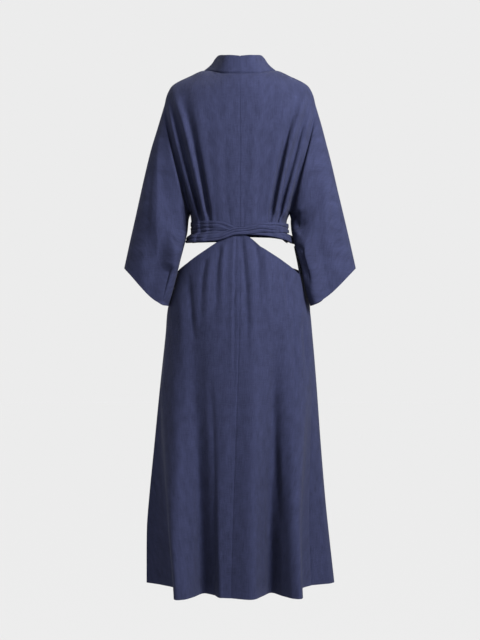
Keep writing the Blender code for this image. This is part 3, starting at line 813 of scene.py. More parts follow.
@dataclass
class Bodice:
    """The bodice: back and front halves, each cut in one with its half of the sleeve."""

    form: BodyForm
    rows: int = 92
    waist_rows: int = 20
    column_step: float = 2.0
    seam_columns: tuple[float, ...] = (0.7, 1.6)
    seam_dip: float = 0.7
    seam_dip_width: float = 1.8
    neck_dip: float = 2.4
    neck_dip_width: float = 2.2
    seam_gap: float = 0.3
    allowance: float = 1.7
    wall: float = 0.8
    held_flat: tuple[float, float] = (356, 378)
    body_ends: tuple[float, float] = (126, 134)
    under_sash: float = 0.85
    off_seam: tuple[float, float] = (1.0, 14.0)
    off_neck: tuple[float, float] = (8.0, 40.0)
    off_wrap: tuple[float, float] = (2.0, 20.0)
    dip_columns: int = 12
    wrap_dip_columns: int = 8
    back_folds: tuple[Fold, ...] = ()
    front_folds: tuple[Fold, ...] = ()

    def grids(self, face: Face) -> tuple[Grid, Grid, np.ndarray, np.ndarray]:
        """Points and cloth places of the body and of the sleeve, on the wearer's left.

        Args:
            face: back or front.

        Returns:
            Points of body and sleeve, then the cloth places of both, row by row.
        """
        lines = self.form.back if face is Face.BACK else self.form.front
        body_places = [line.place for line in lines] + [self.form.junction.place]
        sleeve_places = [line.place for line in self.form.sleeve]
        all_places = body_places + sleeve_places
        upper = [k / self.rows for k in range(self.rows + 1)]
        lower = [1 + (k + 1) / self.waist_rows for k in range(self.waist_rows)]
        first = body_places[0]
        body_columns = column_places(body_places, self.column_step)
        body_columns = sorted(set(body_columns) | {first + step for step in self.seam_columns})
        sleeve_columns = column_places([body_places[-1]] + sleeve_places, self.column_step)

        def known(r: float) -> list[Point]:
            """Points of the body lines and of the junction at row share r."""
            row = [self.form.body_point(line, face, r) for line in lines]
            return row + [self.form.junction_point(face, r)]

        body = [[through(body_places, known(r), p) for p in body_columns] for r in lower]
        top_body, sleeve = [], []
        for r in upper:
            points = known(r) + [self.form.sleeve_point(line, face, r) for line in self.form.sleeve]
            top_body.append([through(all_places, points, p) for p in body_columns])
            sleeve.append([through(all_places, points, p) for p in sleeve_columns])
        body_grid, sleeve_grid = np.array(top_body + body), np.array(sleeve)
        body_where = cloth_places(body_grid)
        sleeve_where = cloth_places(sleeve_grid)
        sleeve_where += body_where[: len(upper), -1:] - sleeve_where[:, :1]
        return body_grid, sleeve_grid, body_where, sleeve_where

    def panel(self, face: Face, side: Side) -> tuple[Cloth, np.ndarray, np.ndarray]:
        """One half of the bodice.

        Args:
            face: back or front.
            side: the wearer's side.

        Returns:
            The finished sheet, the numbers of its edge along the neckband, and those of its cuff
            with the edge first.
        """
        body, sleeve, body_where, sleeve_where = self.grids(face)
        if side is Side.RIGHT:
            body = moved(body * MIRROR, hitch, nip)
            sleeve = moved(sleeve * MIRROR, tuck)
        else:
            sleeve = moved(sleeve, droop)
        if face is Face.FRONT and side is Side.RIGHT:
            body = moved(body, self.form.under_lap)
        cloth = Cloth(f"bodice_{face.name.lower()}_{side.name.lower()}_cloth")
        turn = face.value * side.value
        numbers = cloth.add_grid(body, turn, body_where)
        sleeve_numbers = cloth.add_grid(sleeve, turn, sleeve_where)
        self.sew(cloth, face, side, numbers, sleeve_numbers)
        folds = self.back_folds if face is Face.BACK else self.front_folds
        freedom = self.freedom(cloth)
        if face is Face.FRONT:
            freedom *= self.off_edge(cloth, numbers[:, 0])
        cloth.fold(folds, freedom * self.off_sash(cloth), freedom)
        cuff = sleeve_numbers[:, ::-1].T
        if face is Face.BACK:
            cloth.dip(numbers[:, : self.dip_columns].T, self.seam_dip, self.seam_dip_width)
            neckline = numbers[: self.dip_columns, np.abs(body[0, :, 0]) < NECK_SIDE_X]
            cloth.dip(neckline, self.neck_dip, self.neck_dip_width)
            if side is Side.LEFT:
                cloth.turn_in(numbers[:, 0], numbers[:, 1], self.allowance)
            return cloth, numbers[0], cuff
        cloth.dip(numbers[:, : self.wrap_dip_columns].T, self.neck_dip, self.neck_dip_width)
        top = np.concatenate([numbers[:2], sleeve_numbers[:2, 1:]], axis=1)
        cloth.turn_in(top[0], top[1], self.allowance)
        cloth.turn_in(sleeve_numbers[-1], sleeve_numbers[-2], self.allowance)
        cloth.turn_in(numbers[self.rows :, -1], numbers[self.rows :, -2], self.allowance)
        return cloth, numbers[:, 0], cuff

    def sew(self, cloth: Cloth, face: Face, side: Side, body: np.ndarray, sleeve: np.ndarray) -> None:
        """Hold the shoulder, overarm, underarm, side and centre-back edges on their seams.

        Args:
            cloth: the sheet.
            face: back or front.
            side: the wearer's side.
            body: numbers of the body's points.
            sleeve: numbers of the sleeve's points.
        """
        gap = face.value * self.seam_gap / 2
        shoulder = [n for n in body[0] if abs(cloth.points[n][0]) >= NECK_SIDE_X - 1]
        for edge in (shoulder, body[self.rows :, -1], sleeve[0], sleeve[-1]):
            for number in edge:
                point = cloth.points[int(number)]
                cloth.seam([number], 1, self.form.forward(point[0], point[2]), gap)
        cloth.set_normals[int(body[self.rows][-1])] = (0.0, 0.0, -1.0)
        if face is Face.BACK:
            cloth.seam(list(body[:, 0]), 0, 0.0, side.value * self.seam_gap / 2)

    def freedom(self, cloth: Cloth) -> np.ndarray:
        """How free each point is to fold: nothing at the seams and neck.

        Args:
            cloth: the sheet.

        Returns:
            0 to 1 for each point.
        """
        points = np.array(cloth.points)
        forward = np.array([self.form.forward(x, z) for x, _, z in points])
        return ramps(np.abs(points[:, 1] - forward), *self.off_seam) * ramps(-points[:, 2], *self.off_neck)

    def off_sash(self, cloth: Cloth) -> np.ndarray:
        """How free each point of the body is to stand out: little under the sash.

        Args:
            cloth: the sheet.

        Returns:
            0 to 1 for each point.
        """
        points = np.array(cloth.points)
        on_body = 1 - ramps(np.abs(points[:, 0]), *self.body_ends)
        return 1 - self.under_sash * ramps(-points[:, 2], *self.held_flat) * on_body

    def off_edge(self, cloth: Cloth, edge: np.ndarray) -> np.ndarray:
        """How free each point is by its distance from the wrap edge, nothing at the neckband.

        Args:
            cloth: the sheet.
            edge: numbers of the wrap edge's points.

        Returns:
            0 to 1 for each point.
        """
        points = np.array(cloth.points)
        wrap = points[edge]
        edge_x = np.interp(-points[:, 2], -wrap[:, 2], wrap[:, 0])
        return ramps(np.abs(points[:, 0] - edge_x), *self.off_wrap)


@dataclass
class Neckband:
    """The band of doubled cloth that stands at the back neck and runs down both wrap edges."""

    form: BodyForm
    across: tuple[float, ...] = (0, 0.02, 0.045, 0.08, 0.14, 0.24, 0.38, 0.53, 0.68, 0.81, 0.9, 0.95, 0.98, 1)
    wall: float = 2.2
    edge_wall: float = 1.2
    gap: float = 0.3
    allowance: float = 3.0
    seam_dip: float = 2.6
    seam_dip_width: float = 1.9
    edge_roll: float = 0.9
    edge_roll_width: float = 2.0
    roll_columns: int = 6
    hollow: float = 4.5
    hollow_starts: tuple[float, float] = (0.5, 0.9)
    hollow_ends: tuple[float, float] = (1.05, 1.35)
    free_edges: set[int] = field(default_factory=set)

    def edges(self, side: Side, bodice: Bodice) -> np.ndarray:
        """Outer points of half the band, rows from its sewn edge to its free edge.

        Args:
            side: the wearer's side.
            bodice: the bodice it is sewn to.

        Returns:
            Rows of points in millimetres.
        """
        form = self.form
        places = [row.place for row in form.band]
        offsets = [np.array([row.off_x, row.off_y, row.off_z], dtype=float) for row in form.band]
        body_places = [line.place for line in form.back]
        neck_place = form.back[2].place
        tops = [form.body_point(line, Face.BACK, 0) for line in form.back]
        neckline = column_places([p for p in body_places if p <= neck_place], bodice.column_step)
        sewn = [(p / neck_place, through(body_places, tops, p)) for p in neckline]
        shares = [k / bodice.rows for k in range(1, bodice.rows + 1)]
        shares += [1 + (k + 1) / bodice.waist_rows for k in range(bodice.waist_rows)]
        sewn += [(1 + share, form.body_point(form.front[0], Face.FRONT, share)) for share in shares]
        columns = []
        for place, edge in sewn:
            loose = edge + through(places, offsets, min(place, places[-1]))
            flat = ramp(place, *BAND_LIES_FLAT)
            sideways = ramp(place, *self.hollow_starts) * (1 - ramp(place, *self.hollow_ends))
            if place > 1:
                loose[1] += (self.on_chest(loose) - loose[1]) * flat
            start = edge + (loose - edge) / np.linalg.norm(loose - edge) * self.gap
            column = []
            for share in self.across:
                point = start + (loose - start) * share
                if place > 1 and 0 < share < 1:
                    point[1] += (self.on_chest(point) - point[1]) * flat
                point[0] -= self.hollow * sideways * math.sin(math.pi * share)
                column.append(point * np.array([side.value, 1, 1]))
            columns.append(column)
        return np.array(columns).transpose(1, 0, 2)

    def on_chest(self, point: Point) -> float:
        """Depth of the front bodice at a point."""
        drop = max(0.0, self.form.neck_line(point[0]) - point[2])
        return -self.form.depth(Face.FRONT, point[0], point[2], drop)

    def half(self, side: Side, bodice: Bodice, panels: list[tuple[Cloth, np.ndarray]]) -> Cloth:
        """Half of the band, closed at centre back by its seam.

        Args:
            side: the wearer's side.
            bodice: the bodice it is sewn to.
            panels: the back and front sheet of that side, each with its edge along the band.

        Returns:
            The finished sheet.
        """
        grid = self.edges(side, bodice)
        if side is Side.RIGHT:
            grid = moved(grid, self.form.under_lap)
        cloth = Cloth(f"neckband_{side.name.lower()}_cloth")
        numbers = cloth.add_grid(grid, -side.value)
        cloth.seam(list(numbers[:, 0]), 0, 0.0, side.value * self.gap / 2)
        sewn = np.concatenate([np.array(sheet.points)[edge] for sheet, edge in panels])
        directions = np.concatenate([sheet.normals()[edge] for sheet, edge in panels])
        for number in numbers[0]:
            nearest = np.argmin(np.linalg.norm(sewn - cloth.points[int(number)], axis=1))
            cloth.set_normals[int(number)] = tuple(directions[nearest])
        cloth.dip(numbers, self.seam_dip, self.seam_dip_width)
        cloth.dip(numbers[::-1], self.edge_roll, self.edge_roll_width)
        cloth.dip(numbers[:, : self.roll_columns].T, self.edge_roll, self.edge_roll_width)
        self.free_edges = set(numbers[-1].tolist())
        cloth.turn_in(numbers[0], numbers[1], self.allowance)
        if side is Side.LEFT:
            cloth.turn_in(numbers[:, 0], numbers[:, 1], self.allowance)
        return cloth

    def walls(self, cloth: Cloth) -> np.ndarray:
        """The band's thickness at each point, thinner where its fold rounds over.

        Args:
            cloth: the sheet.

        Returns:
            One thickness for each point, in millimetres.
        """
        walls = np.full(len(cloth.points), self.wall)
        walls[list(self.free_edges)] = self.edge_wall
        return walls


@dataclass(frozen=True)
class StrandPlan:
    """Heights of one sash tie: at the wearer's left, centre back, the right and the front's right."""

    left_z: float
    left_height: float
    mid_z: float
    mid_height: float
    right_z: float
    right_height: float
    front_z: float
    front_height: float
    cross_angle: float
    cross_width: float
    over: float


@dataclass(frozen=True)
class TailPlan:
    """A free end of a tie: where it hangs, how wide it is and where it ends."""

    angle_top: float
    angle_end: float
    width_top: float
    width_end: float
    end_z: float


@dataclass(frozen=True)
class Ring:
    """Half widths and half depths of the plain skirt at one level."""

    z: float
    left: float
    right: float
    back: float
    front: float


@dataclass(frozen=True)
class Fall:
    """A line of the skirt, by its angle round the waist from centre back."""

    angle: float
    top_z: float
    hem_x: float
    hem_y: float
    fold_z: float


SKIRT_RINGS = (
    Ring(-405, 120, 120, 88, 88),
    Ring(-412, 130, 130, 89.5, 89.5),
    Ring(-440, 138, 138, 95, 93),
    Ring(-497, 155, 153, 110, 104),
    Ring(-550, 169.5, 165, 119, 110),
    Ring(-595, 181, 175, 125, 114),
    Ring(-655, 186, 181, 128, 117),
    Ring(-795, 201, 193.5, 134, 122),
    Ring(-935, 215, 204.5, 141, 128),
    Ring(-1075, 229, 217, 150, 136),
    Ring(-1145, 234, 224.5, 155, 140),
    Ring(-1280, 235, 240, 163, 147),
)
SEAM_SWING = 21
SKIRT_BACK_LEFT = (
    Fall(0, -410.3, SEAM_SWING, 166, -560),
    Fall(12, -410.5, 38, 161, -560),
    Fall(25, -430.9, 52, 156, -560),
    Fall(38, -450.5, 85, 110, -560),
    Fall(50, -466.9, 113, 152, -560),
    Fall(60, -480.3, 136, 182, -640),
    Fall(68, -488.1, 157, 172, -760),
    Fall(75, -493, 156, 62, -800),
    Fall(82, -497, 192, 14, -700),
    Fall(90, -498.5, 235, -18, -700),
)
SKIRT_BACK_RIGHT = (
    Fall(0, -410.3, -SEAM_SWING, 166, -560),
    Fall(10, -418, 28, 182, -560),
    Fall(19.5, -438.7, 52, 140, -560),
    Fall(30, -453.7, 76, 104, -560),
    Fall(40, -467.9, 103, 142, -560),
    Fall(50, -482.1, 131, 170, -600),
    Fall(58, -492.5, 149, 160, -700),
    Fall(64, -500, 149, 64, -740),
    Fall(71, -507.4, 178, 16, -700),
)
SKIRT_FRONT_LEFT = (
    Fall(90, -498.5, 235, -18, -700),
    Fall(104, -491, 222, -70, -700),
    Fall(120, -477, 178, -118, -700),
    Fall(136, -455, 132, -110, -700),
    Fall(150, -433, 88, -142, -700),
    Fall(162, -414.3, 44, -128, -700),
    Fall(176, -404.8, -6, -150, -700),
    Fall(190, -404.8, -62, -140, -700),
)
SKIRT_FRONT_RIGHT = (
    Fall(71, -507.4, 178, 16, -700),
    Fall(73, -487, 187, 12, -700),
    Fall(77, -447, 204, 4, -700),
    Fall(79, -437, 210.5, 1, -700),
    Fall(84, -436, 226, -6, -700),
    Fall(96, -436, 238, -30, -700),
    Fall(105, -496, 226, -72, -700),
    Fall(121, -487, 176, -120, -700),
    Fall(138, -463, 126, -108, -700),
    Fall(153, -440, 80, -136, -700),
    Fall(167, -411, 32, -124, -700),
    Fall(184, -404.8, -26, -118, -700),
)
HEM_Z = -1280.0
SOFT_FOLD = 0.55
EVEN_ROWS = 0.75
HIP_SWELL, HIP_STARTS, HIP_ENDS = 3.0, (418, 446), (572, 606)
HIP_BACK, HIP_FRONT = (0, 12), (20, 80)


@dataclass(frozen=True)
class SkirtForm:
    """The worn shape of the skirt, as the solids have it."""

    rings: tuple[Ring, ...] = SKIRT_RINGS

    def ring(self, angle: float, z: float) -> Point:
        """Point of the plain skirt cone at an angle from centre back, the left over 0.

        Args:
            angle: in degrees.
            z: the height.

        Returns:
            The point in millimetres.
        """
        turn = math.radians(angle)
        width = level_value(self.rings, "left" if math.sin(turn) >= 0 else "right", z)
        deep = level_value(self.rings, "back" if math.cos(turn) >= 0 else "front", z)
        return np.array([width * math.sin(turn), deep * math.cos(turn), z])

    def fall_point(self, line: Fall, side: Side, z: float) -> Point:
        """Point of a skirt line at height z, between the cone and its own place at the hem.

        Args:
            line: the line.
            side: the wearer's side.
            z: the height.

        Returns:
            The point in millimetres.
        """
        share = clamp((line.fold_z - z) / (line.fold_z - HEM_Z))
        weight = share * share * (3 - 2 * share) * SOFT_FOLD + share * (1 - SOFT_FOLD)
        cone = self.ring(side.value * line.angle, z)
        at_hem = self.ring(side.value * line.angle, HEM_Z)
        hem = np.array([side.value * line.hem_x, line.hem_y, HEM_Z])
        moved = cone + (hem - at_hem) * weight
        return np.array([moved[0], moved[1], z])

    def point(self, lines: tuple[Fall, ...], side: Side, angle: float, z: float) -> Point:
        """Point of a skirt piece at an angle and a height."""
        values = [self.fall_point(line, side, z) for line in lines]
        return through([line.angle for line in lines], values, angle)

    def top(self, lines: tuple[Fall, ...], angle: float) -> float:
        """Height of a skirt piece's top edge at an angle."""
        return float(np.interp(angle, [line.angle for line in lines], [line.top_z for line in lines]))

    def under_lap(self, point: Point) -> Point:
        """Push a point of the under skirt in where the upper lap lies over it.

        Args:
            point: its place in millimetres.

        Returns:
            Its new place.
        """
        x, y, z = point
        edge = self.fall_point(SKIRT_FRONT_LEFT[-1], Side.LEFT, z)
        return np.array([x, y + (LAP * ramp(x - edge[0], *LAP_INSIDE) if y <= 0 else 0.0), z])

    def hip_swell(self, point: Point) -> Point:
        """Swell the right hip a little, so that the skirt meets the sleeve's edge. Its seam stays.

        Args:
            point: its place in millimetres.

        Returns:
            Its new place.
        """
        x, y, z = point
        level = ramp(-z, *HIP_STARTS) * (1 - ramp(-z, *HIP_ENDS))
        return np.array([x - HIP_SWELL * level * (1 - ramp(y, *HIP_BACK)) * (1 - ramp(-y, *HIP_FRONT)), y, z])


@dataclass
class Skirt:
    """The skirt: two back pieces with a swinging centre seam and two wrapped front pieces."""

    form: SkirtForm
    rows: int = 110
    angle_step: float = 1.15
    seam_columns: tuple[float, ...] = (0.35, 0.8)
    seam_gap: float = 0.3
    seam_dip: float = 0.8
    seam_dip_width: float = 2.0
    allowance: float = 1.7
    wall: float = 0.8
    off_seam: tuple[float, float] = (1.0, 25.0)
    off_sash: tuple[float, float] = (412.0, 424.0)
    under_sash: float = 0.25
    dip_columns: int = 10
    back_folds: tuple[Fold, ...] = ()
    front_folds: tuple[Fold, ...] = ()

    def grid(self, lines: tuple[Fall, ...], side: Side) -> Grid:
        """Outer points of one piece, row by row from its top edge to the hem.

        Args:
            lines: its lines by angle.
            side: the wearer's side.

        Returns:
            Rows of points in millimetres.
        """
        columns = column_places([float(line.angle) for line in lines], self.angle_step)
        if lines[0].angle == 0:
            columns = sorted(set(columns) | set(self.seam_columns))
        grid = []
        for k in range(self.rows + 1):
            share = EVEN_ROWS * k / self.rows + (1 - EVEN_ROWS) * (k / self.rows) ** 2
            row = []
            for angle in columns:
                top = self.form.top(lines, angle)
                row.append(self.form.point(lines, side, angle, top + (HEM_Z - top) * share))
            grid.append(row)
        return np.array(grid)

    def piece(self, name: str, lines: tuple[Fall, ...], side: Side) -> tuple[Cloth, np.ndarray]:
        """One piece of the skirt.

        Args:
            name: its name.
            lines: its lines by angle.
            side: the wearer's side.

        Returns:
            The finished sheet and the numbers of its points.
        """
        grid = self.grid(lines, side)
        back = lines[0].angle == 0
        if name == "skirt_front_right":
            grid = moved(grid, self.form.under_lap, self.form.hip_swell)
        cloth = Cloth(f"{name}_cloth")
        numbers = cloth.add_grid(grid, side.value)
        side_edge = numbers[:, -1] if back else numbers[:, 0]
        if back:
            cloth.seam(list(numbers[:, 0]), 0, None, side.value * self.seam_gap / 2)
        cloth.seam(list(side_edge), 1, None, (self.seam_gap if back else -self.seam_gap) / 2)
        side_points = np.array(cloth.points)[side_edge]
        freedom = self.freedom(cloth, side_points)
        cloth.fold(self.back_folds if back else self.front_folds, freedom, freedom)
        if back:
            cloth.dip(numbers[:, : self.dip_columns].T, self.seam_dip, self.seam_dip_width)
            cloth.turn_in(side_edge, numbers[:, -2], self.allowance)
            if side is Side.LEFT:
                cloth.turn_in(numbers[:, 0], numbers[:, 1], self.allowance)
        return cloth, numbers

    def freedom(self, cloth: Cloth, side_edge: np.ndarray) -> np.ndarray:
        """How free each point is to fold: nothing at the side seam, little at the sash.

        Args:
            cloth: the sheet.
            side_edge: points of its side seam.

        Returns:
            0 to 1 for each point.
        """
        points = np.array(cloth.points)
        heights = -side_edge[:, 2]
        away_x = points[:, 0] - np.interp(-points[:, 2], heights, side_edge[:, 0])
        away_y = points[:, 1] - np.interp(-points[:, 2], heights, side_edge[:, 1])
        off_seam = ramps(np.hypot(away_x, away_y), *self.off_seam)
        return off_seam * (self.under_sash + (1 - self.under_sash) * ramps(-points[:, 2], *self.off_sash))


CREASE_RISES, CREASE_FADES = (0.0, 0.3), (0.7, 1.0)
CREASE_BEND, CREASE_BENDS = 0.03, 4.4
ROLL_OFF, ROLL_WIDTH, ROLL_SHARE = 2.1, 1.5, 0.35


@dataclass(frozen=True)
class Crease:
    """A lengthwise crease of a tie, from one angle round the waist and share of its height to another."""

    start_angle: float
    start_share: float
    end_angle: float
    end_share: float
    depth: float
    width: float

    def lift(self, share: float, angle: float) -> float:
        """How far the crease and the soft roll beside it move the surface out, in millimetres.

        Args:
            share: share of the tie's height.
            angle: angle round the waist.

        Returns:
            The distance, over 0 outwards.
        """
        along = (angle - self.start_angle) / (self.end_angle - self.start_angle)
        shown = ramp(along, *CREASE_RISES) * (1 - ramp(along, *CREASE_FADES))
        bend = CREASE_BEND * math.sin(CREASE_BENDS * math.pi * along + self.start_angle)
        off = share - self.start_share - (self.end_share - self.start_share) * clamp(along) - bend
        roll = math.exp(-(((off - ROLL_OFF * self.width) / (ROLL_WIDTH * self.width)) ** 2))
        return self.depth * shown * (math.exp(-((off / self.width) ** 2)) - ROLL_SHARE * roll)


STRAND_A = StrandPlan(12.5, 34, 3.5, 17, -14, 25.4, -5, 12.4, -57, 22, 0)
STRAND_B = StrandPlan(-14, 17.6, 4, 17, 13.6, 23.4, 13.6, 23.4, 6, 24, 1)
CREASES_A = (
    Crease(178, 0.68, 88, 0.80, -1.5, 0.060),
    Crease(150, 0.30, 58, 0.40, -1.7, 0.055),
    Crease(96, 0.60, 26, 0.52, -2.0, 0.060),
    Crease(78, 0.18, 2, 0.30, -1.6, 0.050),
    Crease(62, 0.80, 6, 0.66, -1.8, 0.055),
    Crease(40, 0.34, -24, 0.50, -1.8, 0.060),
    Crease(12, 0.16, -62, 0.42, -1.7, 0.070),
    Crease(-16, 0.80, -84, 0.66, -1.9, 0.070),
    Crease(-58, 0.28, -168, 0.36, -1.6, 0.060),
    Crease(-82, 0.58, -176, 0.70, -1.5, 0.060),
)
CREASES_B = (
    Crease(172, 0.40, 96, 0.52, -1.5, 0.080),
    Crease(104, 0.62, 38, 0.44, -1.8, 0.090),
    Crease(52, 0.74, -8, 0.62, -1.8, 0.075),
    Crease(34, 0.24, -26, 0.30, -1.7, 0.070),
    Crease(4, 0.44, -66, 0.92, -2.2, 0.065),
    Crease(-22, 0.20, -78, 0.44, -2.0, 0.070),
    Crease(-56, 0.36, -120, 0.66, -1.9, 0.075),
    Crease(-88, 0.78, -164, 0.50, -1.6, 0.070),
    Crease(-104, 0.24, -176, 0.34, -1.5, 0.070),
)
TAIL_LONG = TailPlan(174.0, 158.0, 16, 44, -845)
TAIL_SHORT = TailPlan(182.4, 183.5, 16, 40, -770)
TAIL_WAVE, TAIL_WAVES, TAIL_BEND, TAIL_BENDS = 0.5, 2.1, 0.35, 6.0
KNOT_SLANT, KNOT_WRAP, KNOT_WRAPS, KNOT_CURVE, KNOT_CURVES = 0.45, 0.045, 9.5, 0.8, 2.5
KNOT_FADE, KNOT_SHRINK = 0.6, 0.03
KNOT_CENTRE, KNOT_SIZE, KNOT_ROUND = (4.0, -103.7, -397.0), (20.0, 9.5, 19.0), 0.55


@dataclass
class Sash:
    """The sash: two creased ties that cross at centre back, their knot in front and two free ends."""

    form: BodyForm
    skirt: SkirtForm
    centre_z: float = -405.0
    back_drop: float = 2.6
    front_rise: float = 9.0
    out: float = 1.3
    over: float = 3.2
    pinch_angle: float = 18.0
    over_ends_left: tuple[float, float] = (62, 85)
    over_ends_right: tuple[float, float] = (95, 112)
    front_right: tuple[float, float] = (85, 140)
    solid_wall: float = 1.5
    wall: float = 0.8
    across: int = 26
    column_step: float = 1.3
    roll: float = 1.5
    tail_top_z: float = -416.2
    tail_settled_z: float = -520.0
    tail_out: float = 0.5
    tail_knot_out: float = 11.7
    tail_rows: int = 80
    tail_across: int = 12
    knot_cuts: int = 23

    def path(self) -> list[tuple[int, Face, float]]:
        """Places round the waist: front, over the wearer's left to the back, and round again.

        Returns:
            Side, face and place across the lines, for each point.
        """
        front_lines = [line.place for line in self.form.front[1:]] + [self.form.junction.place]
        back_lines = [line.place for line in self.form.back] + [self.form.junction.place]
        front = column_places(front_lines, self.column_step)
        back = column_places(back_lines, self.column_step)
        half = [(1, Face.FRONT, p) for p in front[:-1]] + [(1, Face.BACK, p) for p in reversed(back[1:])]
        other = [(-1, face, place) for _, face, place in reversed(half)]
        return half + [(1, Face.BACK, 0.0)] + other

    def waist(self, side: int, face: Face, place: float, z: float) -> Point:
        """Point of the waist under the sash, widened as the skirt below it is.

        Args:
            side: 1 for the wearer's left, -1 for the right.
            face: back or front.
            place: place across the lines.
            z: the height.

        Returns:
            The point in millimetres.
        """
        rings = self.skirt.rings
        wider = level_value(rings, "left", z) / rings[0].left
        deeper = level_value(rings, "back", z) / rings[0].back
        return self.form.waist_point(side, face, place, z) * np.array([wider, deeper, 1.0])

    def relief(self, creases: tuple[Crease, ...], share: float, angle: float) -> float:
        """How far a tie's surface stands out at a share of its height and an angle round the waist."""
        return sum(one.lift(share, angle) for one in creases) - self.roll * abs(2 * share - 1) ** 5

    def strand(self, name: str, plan: StrandPlan, creases: tuple[Crease, ...]) -> Cloth:
        """One tie of the sash.

        Args:
            name: its name.
            plan: its heights round the waist.
            creases: its lengthwise creases.

        Returns:
            The finished sheet.
        """
        columns = []
        for side, face, place in self.path():
            here = self.waist(side, face, place, self.centre_z)
            angle = math.degrees(math.atan2(here[0], here[1]))
            turn = math.radians(angle)
            share = 0.5 + 0.5 * math.tanh((angle - plan.cross_angle) / plan.cross_width)
            near = math.exp(-((angle / self.pinch_angle) ** 2))
            back, front = max(math.cos(turn), 0.0), max(-math.cos(turn), 0.0)
            offset = plan.right_z + (plan.left_z - plan.right_z) * share
            offset += (plan.mid_z - offset) * near
            height = plan.right_height + (plan.left_height - plan.right_height) * share
            height += (plan.mid_height - height) * near
            rising = ramp(-angle, *self.front_right)
            offset += (plan.front_z - offset) * rising
            height += (plan.front_height - height) * rising
            middle = self.centre_z - self.back_drop * back + self.front_rise * front + offset
            ends = self.over_ends_left if angle >= 0 else self.over_ends_right
            out = self.out + plan.over * self.over * (1 - ramp(abs(angle), *ends))
            outward = np.array([math.sin(turn), math.cos(turn), 0.0])
            ahead = self.waist(side, face, place + 1.0, self.centre_z) - here
            outward -= ahead * np.dot(outward, ahead) / np.dot(ahead, ahead)
            outward /= np.linalg.norm(outward)
            column = []
            for k in range(self.across + 1):
                down = k / self.across
                point = self.waist(side, face, place, middle + (0.5 - down) * height)
                lift = self.relief(creases, down, angle)
                column.append(nip(point + outward * (out + self.solid_wall + lift)))
            columns.append(column)
        cloth = Cloth(name)
        cloth.add_grid(np.array(columns).transpose(1, 0, 2), -1)
        return cloth

    def tail(self, name: str, plan: TailPlan) -> Cloth:
        """A free end of a tie, hanging on the front of the skirt, its points moved out from it.

        Args:
            name: its name.
            plan: where it hangs and how wide it is.

        Returns:
            The finished sheet.
        """
        lines = SKIRT_FRONT_LEFT
        rows = []
        for k in range(self.tail_rows + 1):
            share = k / self.tail_rows
            z = self.tail_top_z + (plan.end_z - self.tail_top_z) * share
            settled = ramp(-z, -self.tail_top_z, -self.tail_settled_z)
            out = self.tail_out + (self.tail_knot_out - self.tail_out) * (1 - settled)
            middle = plan.angle_top + (plan.angle_end - plan.angle_top) * share
            width = plan.width_top + (plan.width_end - plan.width_top) * ramp(share, 0, 0.5)
            row = []
            for j in range(self.tail_across + 1):
                step = j / self.tail_across - 0.5
                angle = middle + math.degrees(width * step / level_value(self.skirt.rings, "left", z))
                here = self.skirt.point(lines, Side.LEFT, angle, z)
                ahead = self.skirt.point(lines, Side.LEFT, angle + 1, z)
                along = ahead - here
                outward = np.array([along[1], -along[0], 0.0])
                outward *= -math.copysign(1.0, outward[1]) / np.linalg.norm(outward)
                wave = TAIL_WAVES * step + TAIL_BEND * math.sin(TAIL_BENDS * share)
                lift = TAIL_WAVE * math.cos(2 * math.pi * wave) * (1 - share)
                row.append(here + outward * (out + self.solid_wall + lift + TAIL_WAVE))
            rows.append(row)
        cloth = Cloth(name)
        cloth.add_grid(np.array(rows), 1)
        return cloth

    def knot(self, name: str) -> bpy.types.Object:
        """The tied knot, a soft block with the wrap's creases across it.

        Args:
            name: its name.

        Returns:
            Its object.
        """
        work = bmesh.new()
        bmesh.ops.create_cube(work, size=2.0)
        bmesh.ops.subdivide_edges(work, edges=work.edges[:], cuts=self.knot_cuts, use_grid_fill=True)
        for vertex in work.verts:
            unit = vertex.co.normalized()
            soft = unit * KNOT_ROUND + vertex.co * (1 - KNOT_ROUND)
            slant = unit.z + KNOT_SLANT * unit.x
            wrap = KNOT_WRAP * math.cos(KNOT_WRAPS * slant + KNOT_CURVE * math.sin(KNOT_CURVES * unit.x))
            soft *= 1 + wrap * (1 - KNOT_FADE * abs(unit.x)) - KNOT_SHRINK
            vertex.co = [(KNOT_CENTRE[i] + KNOT_SIZE[i] * soft[i]) * MM for i in range(3)]
        points = np.array([v.co[:] for v in work.verts])
        faces = [[v.index for v in f.verts] for f in work.faces]
        work.free()
        places = [[(points[n][0], -points[n][2]) for n in face] for face in faces]
        return make_object(name, points, faces, places)


CHEST_FOLDS = (
    Fold(((178, -72), (148, -228), (105, -366), (101, -402)), 3.4, 6, 5, 0.2, 0.25, 0.02),
    Fold(((144, -92), (117, -230), (86, -365), (82, -402)), 3.0, 6, 5, 0.2, 0.25, 0.02),
    Fold(((172, -137), (145, -257), (129, -345)), -5.0, 5, 4, 0.5, 0.4, 0.2),
    Fold(((147, -170), (119, -282), (97, -365), (93, -402)), -6.2, 3.6, 3.8, 0.6, 0.45, 0.0),
    Fold(((129, -142), (101, -230), (88, -292), (75, -370), (71, -402)), -5.0, 5.5, 3.6, 0.5, 0.4, 0.0),
    Fold(((-139, -78), (-116, -210), (-86, -365), (-82, -402)), 3.0, 5, 6, 0.2, 0.25, 0.02),
    Fold(((-165, -100), (-144, -210), (-106, -365), (-101, -402)), 3.4, 5, 6, 0.2, 0.25, 0.02),
    Fold(((-186, -127), (-160, -240), (-127, -335)), 2.6, 5, 6, 0.2, 0.4, 0.25),
    Fold(((-128, -190), (-115, -270), (-97, -365), (-93, -402)), -6.0, 3.8, 3.6, 0.6, 0.45, 0.0),
    Fold(((-119, -150), (-99, -240), (-75, -370), (-71, -402)), -5.0, 3.6, 5.5, 0.5, 0.4, 0.0),
    Fold(((-155, -205), (-142, -272), (-126, -352)), -5.0, 4, 4.5, 0.5, 0.4, 0.2),
)
